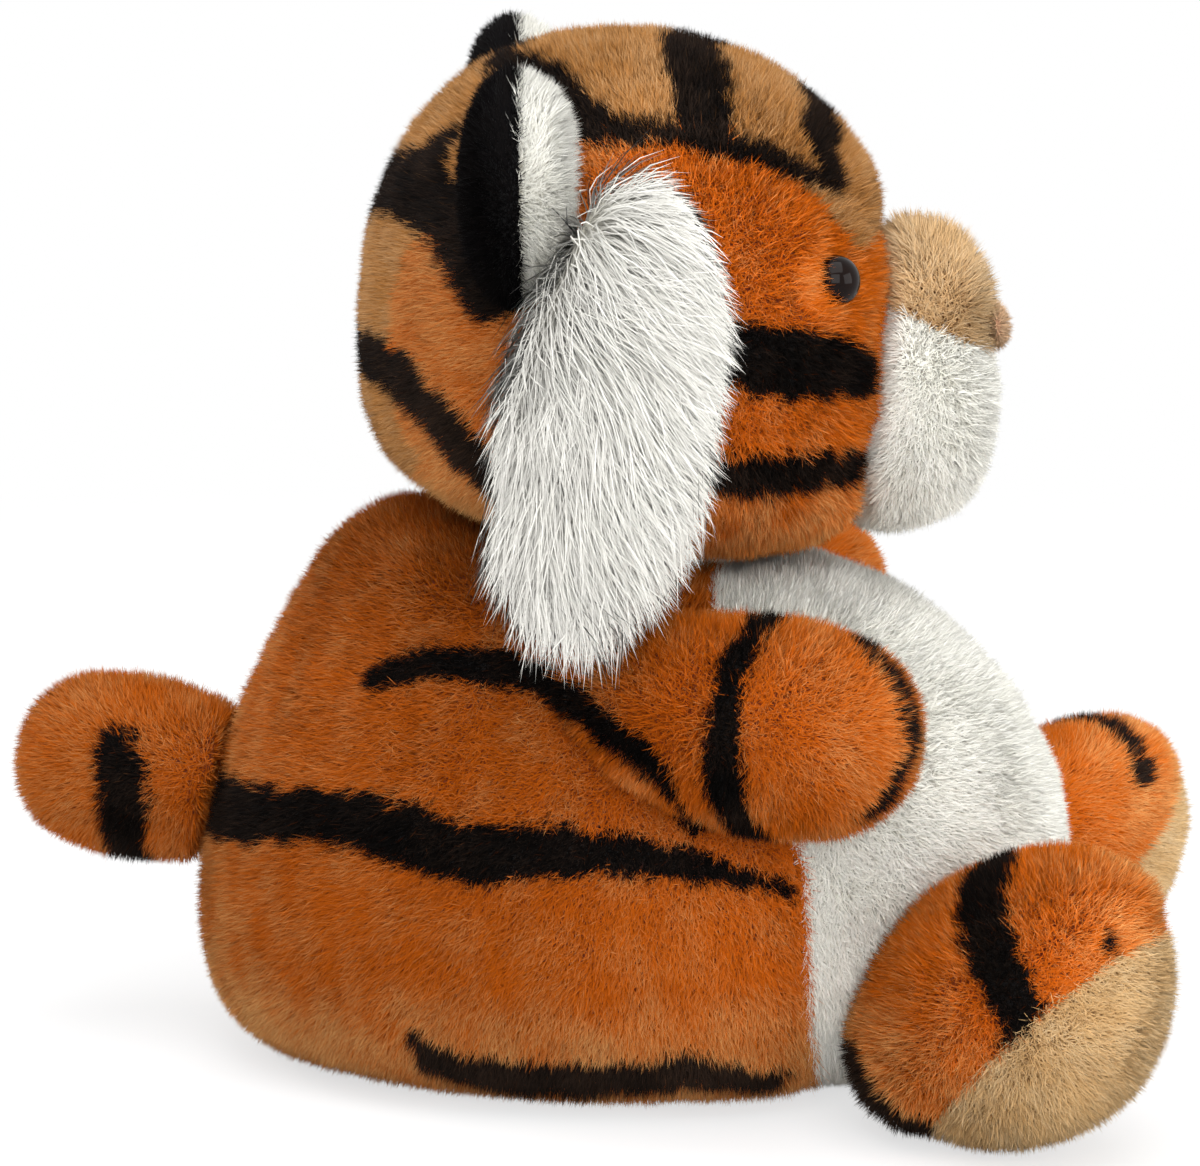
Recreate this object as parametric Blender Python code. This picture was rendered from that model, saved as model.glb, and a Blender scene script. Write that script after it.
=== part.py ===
"""Sitting plush tiger, 127 mm tall: cut-and-sewn covers over fibre stuffing, with a pouch of beans in its seat.

The tiger faces -Y, its left side is +X, and the origin is on the floor under its neck. Lengths are in metres.
Every stuffed form is a cage of ovals from one end to the other, smoothed by subdivision. Each smaller
form is cut by the larger one that it is sewn to. A cover is what is left of the form when its stuffing is
taken out of it.
"""

import math

import bmesh
import bpy
from mathutils import Matrix, Vector
from mathutils.bvhtree import BVHTree

# Cloth and seams
GAP = 0.0003
COVER = 0.0022
CAGE_PROUD = 0.0024
FLAT_CUT = 0.0005
OVERRUN = 0.030

# Body
BODY_HEIGHT = 0.070
BODY_WIDTH = 0.086
BELLY_REACH = 0.0564
RUMP_REACH = 0.0564
SEAT_WIDTH = 0.040
POUCH_LENGTH = 0.070
POUCH_WIDTH = 0.056
POUCH_HEIGHT = 0.013

# Neck
NECK_DIAMETER = 0.030
NECK_SETBACK = 0.001
NECK_LEAN = math.radians(10)
HEAD_TURN = math.radians(8)

# Head
HEAD_HEIGHT = 0.061
HEAD_WIDTH = 0.078
FACE_REACH = 0.0351
NAPE_REACH = 0.0335
MUZZLE_REACH = 0.0453
MUZZLE_WIDTH = 0.039
MUZZLE_HEIGHT = 0.041
BRIDGE_SLOPE = math.radians(27)
NOSE_WIDTH = 0.0095
NOSE_HEIGHT = 0.0070
NOSE_THICKNESS = 0.0026

# Ears and cheek tufts
EAR_LENGTH = 0.0318
EAR_REACH = 0.0238
EAR_DEPTH = 0.0142
EAR_RISE = math.radians(37)
EAR_HEM = 0.0014
EAR_CUP = 0.0030
TUFT_LENGTH = 0.048
TUFT_WIDTH = 0.0278
TUFT_THICKNESS = 0.0085

# Eyes
EYE_DIAMETER = 0.0062
EYE_RISE = 0.0026
EYE_AZIMUTH = math.radians(45)
EYE_ELEVATION = math.radians(5)
SHANK_DIAMETER = 0.0022
SHANK_LENGTH = 0.0075
WASHER_DIAMETER = 0.0080
WASHER_THICKNESS = 0.0010
WASHER_DEPTH = 0.0048

# Arms: the left one is swung further out
ARM_REACH = 0.046
ARM_SPREAD = 0.0185
ARM_DEPTH = 0.0300
ARM_THICKNESS = 0.0268
ARM_SWING = {1: math.radians(25), -1: math.radians(0)}

# Feet
FOOT_REACH = 0.0330
FOOT_SPREAD = 0.0245
FOOT_HEIGHT = 0.0392
FOOT_WIDTH = 0.0322
SOLE_PITCH = math.radians(45)
SOLE_SPLAY = math.radians(25)

# Tail
TAIL_REACH = 0.0328
TAIL_RISE = 0.0050
TAIL_WIDTH = 0.0256

# Ovals of the body, from the seat up: reach and height at the belly, reach and height at the back, half width
BODY_SHARES = (
    (0.680, 0.000, 0.780, 0.000, 0.700),
    (0.840, 0.050, 0.930, 0.050, 0.870),
    (1.010, 0.220, 1.000, 0.200, 0.992),
    (1.035, 0.450, 0.970, 0.440, 0.975),
    (0.915, 0.650, 0.885, 0.640, 0.850),
    (0.690, 0.820, 0.740, 0.845, 0.690),
    (0.515, 0.868, 0.650, 0.965, 0.590),
    (0.310, 0.878, 0.470, 0.992, 0.420),
)
NECK_HEIGHT_SHARE = 0.943
SEAT_LENGTH_SHARE = 0.922

# Joint places: an arm's and a foot's out, back and up, the tail's back and up, and an ear's distance out
ARM_JOINT_SHARES = (0.880, 0.200, 0.714)
FOOT_JOINT_SHARES = (0.700, -0.800, 0.450)
TAIL_JOINT_SHARES = (0.900, 0.640)
EAR_JOINT_SHARE = 0.150

# Ovals of the head, from the neck up: reach and height at the face, reach and height at the nape, half width
HEAD_SHARES = (
    (0.600, -0.045, 0.640, 0.072, 0.500),
    (0.860, -0.015, 0.870, 0.100, 0.735),
    (0.960, 0.120, 0.975, 0.205, 0.925),
    (0.995, 0.320, 1.000, 0.370, 1.000),
    (0.998, 0.520, 0.987, 0.545, 0.985),
    (0.930, 0.695, 0.918, 0.708, 0.875),
    (0.715, 0.862, 0.722, 0.870, 0.672),
    (0.390, 0.957, 0.420, 0.962, 0.400),
)

# Ovals of the muzzle, from the face forward: reach, lowest and highest point from its middle, half width
MUZZLE_SHARES = (
    (0.426, -0.917, 0.937, 0.923),
    (0.660, -1.000, 1.000, 1.000),
    (0.850, -0.950, 0.960, 0.890),
    (0.950, -0.760, 0.790, 0.670),
    (0.990, -0.430, 0.450, 0.360),
)
MUZZLE_MIDDLE_SHARE = 0.308
MUZZLE_TAPER_SHARE = 0.35
BRIDGE_REACH_SHARE = 0.766
BRIDGE_HEIGHT_SHARE = 0.40
NOSE_ELEVATION = math.radians(24)

# Outlines of the nose, from inside the muzzle outwards: depth and size
NOSE_SHARES = ((-0.500, 0.800), (0.000, 1.000), (0.500, 0.700))
NOSE_TAPER_SHARE = -1.2

# Ovals of an ear, from inside the head to its rim: reach, half length, half depth
EAR_SHARES = (
    (0.000, 0.970, 0.940),
    (0.350, 1.000, 1.000),
    (0.740, 0.840, 0.930),
    (0.950, 0.450, 0.600),
)
EAR_CUP_SHARE = 0.62
EAR_ROOT_SHARES = (0.623, 0.387, 0.660)

# Ovals of a cheek tuft, from its top down: drop, place out, place back, half width, half thickness
TUFT_SHARES = (
    (0.000, 0.955, -0.010, 0.480, 0.600),
    (0.250, 1.020, 0.005, 0.880, 0.940),
    (0.530, 1.078, 0.090, 0.980, 1.000),
    (0.800, 1.065, 0.150, 0.850, 0.900),
    (1.000, 1.034, 0.181, 0.500, 0.560),
)
TUFT_TOP_SHARE = 0.770

# Ovals of an arm, from inside the body to the paw: reach, spread, half depth, half thickness
ARM_SHARES = (
    (0.000, 0.000, 0.560, 0.600),
    (0.260, 0.540, 0.810, 0.800),
    (0.560, 0.960, 0.990, 0.980),
    (0.800, 1.030, 0.920, 0.940),
    (0.950, 1.000, 0.560, 0.600),
)
ARM_ROOT_SHARES = (0.518, 0.108, 0.714)
ARM_DROP_SHARE = 0.060

# Ovals of a foot, from inside the body to the toes: reach, spread, height, half height, half width and
# forward lean
FOOT_SHARES = (
    (0.000, 0.000, 0.452, 0.480, 0.520, 0.500),
    (0.225, 0.430, 0.452, 0.960, 0.850, 0.520),
    (0.450, 0.740, 0.452, 1.000, 1.000, 0.400),
    (0.700, 0.930, 0.452, 0.930, 0.920, 0.280),
    (0.905, 0.990, 0.452, 0.630, 0.600, 0.220),
)
FOOT_ROOT_SHARES = (0.510, 0.638)
SOLE_SHARES = (0.525, 0.980, 0.400)

# Ovals of the tail, from inside the body to its end: reach, rise, radius
TAIL_SHARES = (
    (0.000, 0.000, 0.780),
    (0.245, 0.300, 0.900),
    (0.488, 0.600, 1.000),
    (0.730, 0.800, 0.950),
    (0.900, 0.940, 0.680),
)
TAIL_ROOT_SHARES = (0.789, 0.443)

# Ovals of the bean pouch, from the seat up: rise, half length and half width
POUCH_SHARES = ((0.000, 0.900), (0.350, 0.950), (0.700, 0.780), (1.000, 0.440))

# Seam lines: the belly seam's reach and height, and the crown strip's place, half width and lower edge
BELLY_SEAM_SHARES = ((0.466, -0.200), (0.466, 0.060), (0.450, 0.440), (0.190, 0.930), (0.100, 1.300))
CROWN_SHARES = (
    (-1.700, 0.240, 0.640),
    (-0.960, 0.240, 0.640),
    (-0.680, 0.470, 0.560),
    (0.180, 0.700, 0.500),
    (0.620, 0.520, 0.300),
    (0.800, 0.360, 0.060),
    (1.700, 0.300, 0.060),
)

BODY_SIDES = 12
HEAD_SIDES = 12
LIMB_SIDES = 8
TURNED_SIDES = 12
DOME_STEPS = 6
SHARP_ANGLE = math.radians(40)

ACROSS = Vector((1, 0, 0))
BACKWARD = Vector((0, 1, 0))
UP = Vector((0, 0, 1))

NECK = Vector((0, NECK_SETBACK, NECK_HEIGHT_SHARE * BODY_HEIGHT))
SEAT_TOP = COVER + CAGE_PROUD - FLAT_CUT


def clear_scene():
    for old in list(bpy.data.objects):
        bpy.data.objects.remove(old, do_unlink=True)


# Making and cutting forms


def add_object(name, mesh):
    piece = bpy.data.objects.new(name, mesh)
    bpy.context.collection.objects.link(piece)
    return piece


def settle(piece):
    """Applies the modifiers of a piece to its mesh."""
    graph = bpy.context.evaluated_depsgraph_get()
    mesh = bpy.data.meshes.new_from_object(piece.evaluated_get(graph))
    piece.modifiers.clear()
    old = piece.data
    piece.data = mesh
    bpy.data.meshes.remove(old)


def oval(middle, half_along, half_across, sides, taper=0.0):
    """A ring of points. The taper narrows the ring towards the end that half_along points at."""
    points = []
    for k in range(sides):
        turn = 2 * math.pi * (k + 0.5) / sides
        along = math.cos(turn)
        across = math.sin(turn) * (1 - taper * (along + 1) / 2)
        points.append(middle + half_along * along + half_across * across)
    return points


def cage(name, rings, root, tip):
    """A closed cage through rings of points, with a fan of faces to a point at each end."""
    bm = bmesh.new()
    loops = []
    for ring in rings:
        verts = [bm.verts.new(point) for point in ring]
        for a, b in zip(verts, verts[1:] + verts[:1]):
            bm.edges.new((a, b))
        loops.append(verts)
    bmesh.ops.bridge_loops(bm, edges=bm.edges[:])
    for verts, point in ((loops[0], root), (loops[-1], tip)):
        end = bm.verts.new(point)
        for a, b in zip(verts, verts[1:] + verts[:1]):
            bm.faces.new((a, b, end))
    bmesh.ops.recalc_face_normals(bm, faces=bm.faces[:])
    mesh = bpy.data.meshes.new(name)
    bm.to_mesh(mesh)
    bm.free()
    return add_object(name, mesh)


def swell(name, form, levels=1, grow=0.0):
    """The form as a solid, smoothed by subdivision and then grown, or shrunk, along its normals."""
    piece = cage(name, *form)
    if levels:
        smooth = piece.modifiers.new("smooth", "SUBSURF")
        smooth.levels = levels
        smooth.render_levels = levels
    facets = piece.modifiers.new("facets", "TRIANGULATE")
    facets.quad_method = "FIXED"
    if grow:
        offset = piece.modifiers.new("offset", "DISPLACE")
        offset.strength = grow
        offset.mid_level = 0
    settle(piece)
    return piece


def cut(piece, cutter, operation="DIFFERENCE", keep=False):
    """Cuts a piece, or keeps what it shares with the cutter, and clears the cutter away."""
    knife = piece.modifiers.new("cut", "BOOLEAN")
    knife.operation = operation
    knife.solver = "EXACT"
    knife.object = cutter
    settle(piece)
    if not keep:
        bpy.data.objects.remove(cutter, do_unlink=True)
    return piece


def copy_of(piece, name):
    return add_object(name, piece.data.copy())


def solid_box(name, low, high):
    bm = bmesh.new()
    bmesh.ops.create_cube(bm, size=1)
    size = Vector(high) - Vector(low)
    bmesh.ops.scale(bm, vec=size, verts=bm.verts[:])
    bmesh.ops.translate(bm, vec=Vector(low) + size / 2, verts=bm.verts[:])
    mesh = bpy.data.meshes.new(name)
    bm.to_mesh(mesh)
    bm.free()
    return add_object(name, mesh)


def half_space(name, point, normal):
    """A block on the side of a plane that its normal points to, large enough for any piece."""
    reach = BODY_HEIGHT + HEAD_HEIGHT + OVERRUN
    block = solid_box(name, (-reach, -reach, 0), (reach, reach, reach))
    turn = Vector(normal).normalized().to_track_quat("Z", "Y").to_matrix().to_4x4()
    block.data.transform(Matrix.Translation(point) @ turn)
    return block


def prism(name, outline, low, high):
    """An outline of (y, z) points, extruded along X."""
    bm = bmesh.new()
    face = bm.faces.new([bm.verts.new((low, y, z)) for y, z in outline])
    grown = bmesh.ops.extrude_face_region(bm, geom=[face])
    moved = [item for item in grown["geom"] if isinstance(item, bmesh.types.BMVert)]
    bmesh.ops.translate(bm, vec=ACROSS * (high - low), verts=moved)
    bmesh.ops.recalc_face_normals(bm, faces=bm.faces[:])
    mesh = bpy.data.meshes.new(name)
    bm.to_mesh(mesh)
    bm.free()
    return add_object(name, mesh)


def turned(name, profile, place):
    """A solid of revolution. The profile is (radius, height) points from one end of the axis to the other."""
    bm = bmesh.new()
    verts = [bm.verts.new((radius, 0, height)) for radius, height in profile]
    for a, b in zip(verts, verts[1:]):
        bm.edges.new((a, b))
    bmesh.ops.spin(
        bm,
        geom=bm.verts[:] + bm.edges[:],
        axis=UP,
        cent=(0, 0, 0),
        angle=2 * math.pi,
        steps=TURNED_SIDES,
        use_merge=True,
    )
    bmesh.ops.remove_doubles(bm, verts=bm.verts[:], dist=GAP / 100)
    bmesh.ops.recalc_face_normals(bm, faces=bm.faces[:])
    bmesh.ops.transform(bm, matrix=place, verts=bm.verts[:])
    mesh = bpy.data.meshes.new(name)
    bm.to_mesh(mesh)
    bm.free()
    return add_object(name, mesh)


def ball(name, middle, radius, divisions=3):
    bm = bmesh.new()
    bmesh.ops.create_icosphere(bm, subdivisions=divisions, radius=radius)
    bmesh.ops.translate(bm, vec=middle, verts=bm.verts[:])
    mesh = bpy.data.meshes.new(name)
    bm.to_mesh(mesh)
    bm.free()
    return add_object(name, mesh)


def surface_point(form, start, direction):
    """Where a line from inside a form leaves it, and the outward normal there."""
    solid = swell("probe", form)
    tree = BVHTree.FromPolygons([v.co for v in solid.data.vertices], [p.vertices for p in solid.data.polygons])
    point, normal, _, _ = tree.ray_cast(start, direction)
    bpy.data.objects.remove(solid, do_unlink=True)
    return point, normal


# Forms: each is its rings of points, the point inside its root and the point at its tip


def upright_form(shares, sides, front_reach, back_reach, half_width, base, height):
    """Ovals from a point on the front line to a point on the back line, one above the other."""
    rings = []
    for front, front_rise, back, back_rise, width in shares:
        fore = Vector((0, -front * front_reach, base + front_rise * height))
        aft = Vector((0, back * back_reach, base + back_rise * height))
        rings.append(oval((fore + aft) / 2, (aft - fore) / 2, ACROSS * width * half_width, sides))
    ends = [sum(ring, Vector()) / sides for ring in (rings[0], rings[-1])]
    return rings, ends[0], ends[1]


def body_form():
    full = BODY_HEIGHT + FLAT_CUT
    return upright_form(BODY_SHARES, BODY_SIDES, BELLY_REACH, RUMP_REACH, BODY_WIDTH / 2, -FLAT_CUT, full)


def head_form():
    rings, root, tip = upright_form(
        HEAD_SHARES, HEAD_SIDES, FACE_REACH, NAPE_REACH, HEAD_WIDTH / 2, NECK.z, HEAD_HEIGHT
    )
    return rings, root, Vector((0, tip.y, NECK.z + HEAD_HEIGHT))


def muzzle_form():
    middle = NECK.z + MUZZLE_MIDDLE_SHARE * HEAD_HEIGHT
    rings = []
    for reach, low, high, width in MUZZLE_SHARES:
        bottom = Vector((0, -reach * MUZZLE_REACH, middle + low * MUZZLE_HEIGHT / 2))
        top = Vector((0, -reach * MUZZLE_REACH, middle + high * MUZZLE_HEIGHT / 2))
        across = ACROSS * width * MUZZLE_WIDTH / 2
        rings.append(oval((bottom + top) / 2, (top - bottom) / 2, across, HEAD_SIDES, MUZZLE_TAPER_SHARE))
    root = Vector((0, -MUZZLE_SHARES[0][0] * MUZZLE_REACH, middle))
    return rings, root, Vector((0, -MUZZLE_REACH, middle))


def ear_line(side):
    """The point inside the head that an ear grows from, and its direction."""
    out, back, rise = EAR_ROOT_SHARES
    root = Vector((side * out * HEAD_WIDTH / 2, back * NAPE_REACH, NECK.z + rise * HEAD_HEIGHT))
    return root, Vector((side * math.cos(EAR_RISE), 0, math.sin(EAR_RISE)))


def ear_form(side, hem=0.0):
    """An ear on one side, or its lining, which stays inside the ear's edge by the hem."""
    root, away = ear_line(side)
    length = Vector((-side * math.sin(EAR_RISE), 0, math.cos(EAR_RISE)))
    rings = []
    for reach, half_length, half_depth in EAR_SHARES:
        middle = root + away * reach * (EAR_REACH - hem)
        along = length * half_length * (EAR_LENGTH / 2 - hem)
        rings.append(oval(middle, along, BACKWARD * half_depth * EAR_DEPTH / 2, LIMB_SIDES))
    return rings, root, root + away * (EAR_REACH - hem)


def tuft_form(side):
    rings = []
    for drop, out, back, width, thickness in TUFT_SHARES:
        height = NECK.z + TUFT_TOP_SHARE * HEAD_HEIGHT - drop * TUFT_LENGTH
        middle = Vector((side * out * HEAD_WIDTH / 2, back * NAPE_REACH, height))
        along = BACKWARD * width * TUFT_WIDTH / 2
        rings.append(oval(middle, along, ACROSS * thickness * TUFT_THICKNESS / 2, LIMB_SIDES))
    ends = [sum(ring, Vector()) / LIMB_SIDES for ring in (rings[0], rings[-1])]
    return rings, ends[0], ends[1]


def along_spine(middles, halves, tip, sides):
    """Rings across a spine: each has a middle, its upright half size and its sideways half size."""
    points = list(middles) + [tip]
    rings = []
    for k, (upright, sideways) in enumerate(halves):
        before = points[max(k - 1, 0)]
        heading = (points[k + 1] - before).normalized()
        beside = heading.cross(UP).normalized()
        rings.append(oval(points[k], beside.cross(heading) * upright, beside * sideways, sides))
    return rings, points[0], tip


def arm_form(side):
    out, back, rise = ARM_ROOT_SHARES
    root = Vector((side * out * BODY_WIDTH / 2, back * RUMP_REACH, rise * BODY_HEIGHT))

    swing = Matrix.Rotation(side * ARM_SWING[side], 3, "Z")

    def place(reach, spread):
        drop = -reach * ARM_DROP_SHARE * ARM_DEPTH
        return root + swing @ Vector((side * spread * ARM_SPREAD, -reach * ARM_REACH, drop))

    middles = [place(row[0], row[1]) for row in ARM_SHARES]
    halves = [(row[2] * ARM_DEPTH / 2, row[3] * ARM_THICKNESS / 2) for row in ARM_SHARES]
    return along_spine(middles, halves, place(1, ARM_SHARES[-1][1]), LIMB_SIDES)


def foot_place(side, reach, spread, height):
    out, front = FOOT_ROOT_SHARES
    x = side * (out * BODY_WIDTH / 2 + spread * FOOT_SPREAD)
    return Vector((x, -front * BELLY_REACH - reach * FOOT_REACH, height * FOOT_HEIGHT))


def foot_form(side):
    middles = [foot_place(side, *row[:3]) for row in FOOT_SHARES]
    halves = [(row[3] * FOOT_HEIGHT / 2, row[4] * FOOT_WIDTH / 2) for row in FOOT_SHARES]
    rings, root, tip = along_spine(middles, halves, foot_place(side, 1, 1, FOOT_SHARES[-1][2]), LIMB_SIDES)
    for ring, row in zip(rings, FOOT_SHARES):
        for point in ring:
            point.y -= (point.z - root.z) * row[5]
    return rings, root, tip


def tail_form():
    back, rise = TAIL_ROOT_SHARES
    root = Vector((0, back * RUMP_REACH, rise * BODY_HEIGHT))

    def place(reach, climb):
        return root + Vector((0, reach * TAIL_REACH, climb * TAIL_RISE))

    middles = [place(row[0], row[1]) for row in TAIL_SHARES]
    halves = [(row[2] * TAIL_WIDTH / 2, row[2] * TAIL_WIDTH / 2) for row in TAIL_SHARES]
    return along_spine(middles, halves, place(1, 1), LIMB_SIDES)


def pouch_form():
    base = Vector((0, 0, SEAT_TOP + GAP))
    rings = []
    for rise, width in POUCH_SHARES:
        along = BACKWARD * width * POUCH_LENGTH / 2
        rings.append(oval(base + UP * rise * POUCH_HEIGHT, along, ACROSS * width * POUCH_WIDTH / 2, LIMB_SIDES))
    return rings, base, base + UP * POUCH_HEIGHT


BODY = body_form()
HEAD = head_form()
MUZZLE = muzzle_form()


# Colours and finishes, one for each cloth or plastic


def finish(name, colour, roughness, metallic=0.0):
    material = bpy.data.materials.new(name)
    material.use_nodes = True
    shader = material.node_tree.nodes["Principled BSDF"]
    shader.inputs["Base Color"].default_value = (*colour, 1)
    shader.inputs["Roughness"].default_value = roughness
    shader.inputs["Metallic"].default_value = metallic
    return material


COLOURS = {
    "rust": (0.52, 0.16, 0.03),
    "tan": (0.60, 0.36, 0.17),
    "white": (0.86, 0.86, 0.82),
    "black": (0.02, 0.02, 0.022),
    "cream": (0.68, 0.48, 0.27),
    "pink": (0.52, 0.22, 0.17),
    "fibre": (0.82, 0.82, 0.80),
    "beans": (0.55, 0.56, 0.58),
}


def dress(piece, colour, roughness=0.9):
    piece.data.materials.clear()
    piece.data.materials.append(finish(piece.name, COLOURS[colour], roughness))
    piece.data.shade_smooth()
    piece.data.set_sharp_from_angle(angle=SHARP_ANGLE)
    return piece


# Body


def above_floor(piece, height=0.0):
    reach = BODY_HEIGHT + HEAD_HEIGHT + OVERRUN
    return cut(piece, solid_box("floor", (-reach, -reach, -reach), (reach, reach, height)))


def belly_wedge(name, grow):
    """Everything in front of the belly seams, which run from the floor to the neck."""
    outline = [(-reach * BELLY_REACH + grow, rise * BODY_HEIGHT) for reach, rise in BELLY_SEAM_SHARES]
    front = -BELLY_REACH - OVERRUN
    outline += [(front, outline[-1][1]), (front, outline[0][1])]
    return prism(name, outline, -BODY_WIDTH, BODY_WIDTH)


def seat_plug(name, grow):
    low = -FLAT_CUT - GAP
    half_length = SEAT_LENGTH_SHARE * BELLY_REACH / 2
    oval_size = Matrix.Diagonal((SEAT_WIDTH / 2 + grow, half_length + grow, 1, 1))
    high = SEAT_TOP + COVER
    return turned(name, ((0, low), (1, low), (1, high), (0, high)), oval_size)


def make_body():
    shell = above_floor(swell("shell", BODY))
    cut(shell, swell("cavity", BODY, 0, -COVER - CAGE_PROUD))
    cut(shell, ball("neck_hole", NECK, NECK_DIAMETER / 2 + GAP))
    seat = cut(copy_of(shell, "seat_panel"), seat_plug("plug", 0), "INTERSECT")
    cut(shell, seat_plug("plug", GAP))
    belly = cut(copy_of(shell, "belly_panel"), belly_wedge("wedge", 0), "INTERSECT")
    cut(shell, belly_wedge("wedge", GAP))
    pieces = [dress(seat, "rust"), dress(belly, "white")]
    for side, word in ((1, "left"), (-1, "right")):
        beside = half_space("beside", (side * GAP / 2, 0, 0), (side, 0, 0))
        panel = cut(copy_of(shell, f"back_panel_{word}"), beside, "INTERSECT")
        pieces.append(dress(panel, "rust"))
    bpy.data.objects.remove(shell, do_unlink=True)

    stuffing = swell("body_stuffing", BODY, 0, -COVER - CAGE_PROUD - GAP)
    cut(stuffing, ball("socket", NECK, NECK_DIAMETER / 2 + GAP))
    cut(stuffing, swell("dent", pouch_form(), 0, GAP))
    pouch = swell("bean_pouch", pouch_form(), 0)
    neck = ball("neck_stuffing", NECK, NECK_DIAMETER / 2)
    pieces += [dress(stuffing, "fibre"), dress(pouch, "beans")]
    return pieces, dress(neck, "fibre")


# Limbs: a cover that is open at its seam with the body, and its stuffing


def clear_of_body(piece):
    return cut(piece, swell("body", BODY, 1, GAP))


def stuffed(limb, ending, form):
    """The cover and the stuffing of a limb, both cut where they meet the body."""
    cover = swell(f"{limb}_cover{ending}", form)
    cut(cover, swell("cavity", form, 0, -COVER - CAGE_PROUD))
    stuffing = swell(f"{limb}_stuffing{ending}", form, 0, -COVER - CAGE_PROUD - GAP)
    return clear_of_body(cover), clear_of_body(stuffing)


def make_arm(side, word):
    cover, stuffing = stuffed("arm", f"_{word}", arm_form(side))
    return [dress(cover, "rust"), dress(stuffing, "fibre")]


def sole_plane(side, shift):
    level = math.cos(SOLE_PITCH)
    splay = Vector((side * level * math.sin(SOLE_SPLAY), -level * math.cos(SOLE_SPLAY), -math.sin(SOLE_PITCH)))
    return half_space("sole", foot_place(side, *SOLE_SHARES) + splay * shift, splay)


def make_foot(side, word):
    cover, stuffing = stuffed("foot", f"_{word}", foot_form(side))
    above_floor(cover)
    above_floor(stuffing, COVER + GAP)
    sole = cut(copy_of(cover, f"foot_sole_{word}"), sole_plane(side, GAP / 2), "INTERSECT")
    cut(cover, sole_plane(side, -GAP / 2))
    return [dress(cover, "rust"), dress(sole, "cream"), dress(stuffing, "fibre")]


def make_tail():
    cover, stuffing = stuffed("tail", "", tail_form())
    return [dress(cover, "rust"), dress(stuffing, "fibre")]


# Head


def crown_wedge(name, grow):
    """The strip over the crown, from the bridge of the nose between the ears to the nape."""
    rings = []
    for back, width, low in CROWN_SHARES:
        y = back * (FACE_REACH if back < 0 else NAPE_REACH)
        half = width * HEAD_WIDTH / 2 + grow
        bottom = NECK.z + low * HEAD_HEIGHT - grow
        top = NECK.z + HEAD_HEIGHT + OVERRUN
        corners = ((-half, bottom), (half, bottom), (half, top), (-half, top))
        rings.append([Vector((x, y, z)) for x, z in corners])
    ends = [sum(ring, Vector()) / len(ring) for ring in (rings[0], rings[-1])]
    return cage(name, rings, ends[0], ends[1])


def eye_place(side):
    """The eye's place on the face: its own Z axis points out of the cover."""
    middle = Vector((0, 0, NECK.z + HEAD_HEIGHT / 2))
    level = math.cos(EYE_ELEVATION)
    out, fore = math.sin(EYE_AZIMUTH), math.cos(EYE_AZIMUTH)
    aim = Vector((side * level * out, -level * fore, math.sin(EYE_ELEVATION)))
    point, normal = surface_point(HEAD, middle, aim)
    return Matrix.Translation(point) @ normal.to_track_quat("Z", "Y").to_matrix().to_4x4()


def eye_solid(name, side, grow=0.0):
    """A domed button with a shank behind it."""
    radius = EYE_DIAMETER / 2 + grow
    stem = SHANK_DIAMETER / 2 + grow
    dome = []
    for k in range(DOME_STEPS):
        lift = k * math.pi / (2 * DOME_STEPS)
        dome.append((radius * math.cos(lift), GAP + grow + EYE_RISE * math.sin(lift)))
    base = GAP - grow
    profile = [(0, -SHANK_LENGTH - grow), (stem, -SHANK_LENGTH - grow), (stem, base), (radius, base)]
    return turned(name, profile + dome + [(0, GAP + EYE_RISE + grow)], eye_place(side))


def washer_solid(name, side):
    """The washer that is pressed on the shank behind the cover."""
    outer = WASHER_DIAMETER / 2
    far = -WASHER_DEPTH - WASHER_THICKNESS
    washer = turned(name, ((0, far), (outer, far), (outer, -WASHER_DEPTH), (0, -WASHER_DEPTH)), eye_place(side))
    return cut(washer, eye_solid("shank", side, GAP))


def eye_seat(side):
    """The room that the shank and its washer take up in the cover and the stuffing."""
    stem = SHANK_DIAMETER / 2 + GAP
    outer = WASHER_DIAMETER / 2 + GAP
    end = -SHANK_LENGTH - GAP
    far = -WASHER_DEPTH - WASHER_THICKNESS - GAP
    near = GAP - WASHER_DEPTH
    bore = [(0, end), (stem, end), (stem, far), (outer, far), (outer, near), (stem, near)]
    return turned("eye_seat", bore + [(stem, EYE_RISE), (0, EYE_RISE)], eye_place(side))


def bridge_plane(shift):
    middle = NECK.z + MUZZLE_MIDDLE_SHARE * HEAD_HEIGHT
    height = middle + BRIDGE_HEIGHT_SHARE * MUZZLE_HEIGHT / 2
    normal = Vector((0, -math.sin(BRIDGE_SLOPE), math.cos(BRIDGE_SLOPE)))
    point = Vector((0, -BRIDGE_REACH_SHARE * MUZZLE_REACH, height))
    return half_space("bridge", point + normal * shift, normal)


def make_nose():
    """A small three-cornered pad, wide at the top, set on the front of the muzzle."""
    middle = (MUZZLE[1] + MUZZLE[2]) / 2
    aim = Vector((0, -math.cos(NOSE_ELEVATION), math.sin(NOSE_ELEVATION)))
    point, normal = surface_point(MUZZLE, middle, aim)
    up = (UP - normal * UP.dot(normal)).normalized()
    rings = []
    for depth, share in NOSE_SHARES:
        level = point + normal * depth * NOSE_THICKNESS
        along = up * share * NOSE_HEIGHT / 2
        rings.append(oval(level, along, ACROSS * share * NOSE_WIDTH / 2, LIMB_SIDES, NOSE_TAPER_SHARE))
    ends = [sum(ring, Vector()) / LIMB_SIDES for ring in (rings[0], rings[-1])]
    nose = swell("nose", (rings, ends[0], ends[1]))
    return dress(cut(nose, swell("muzzle", MUZZLE, 1, GAP)), "pink", 0.6)


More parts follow.
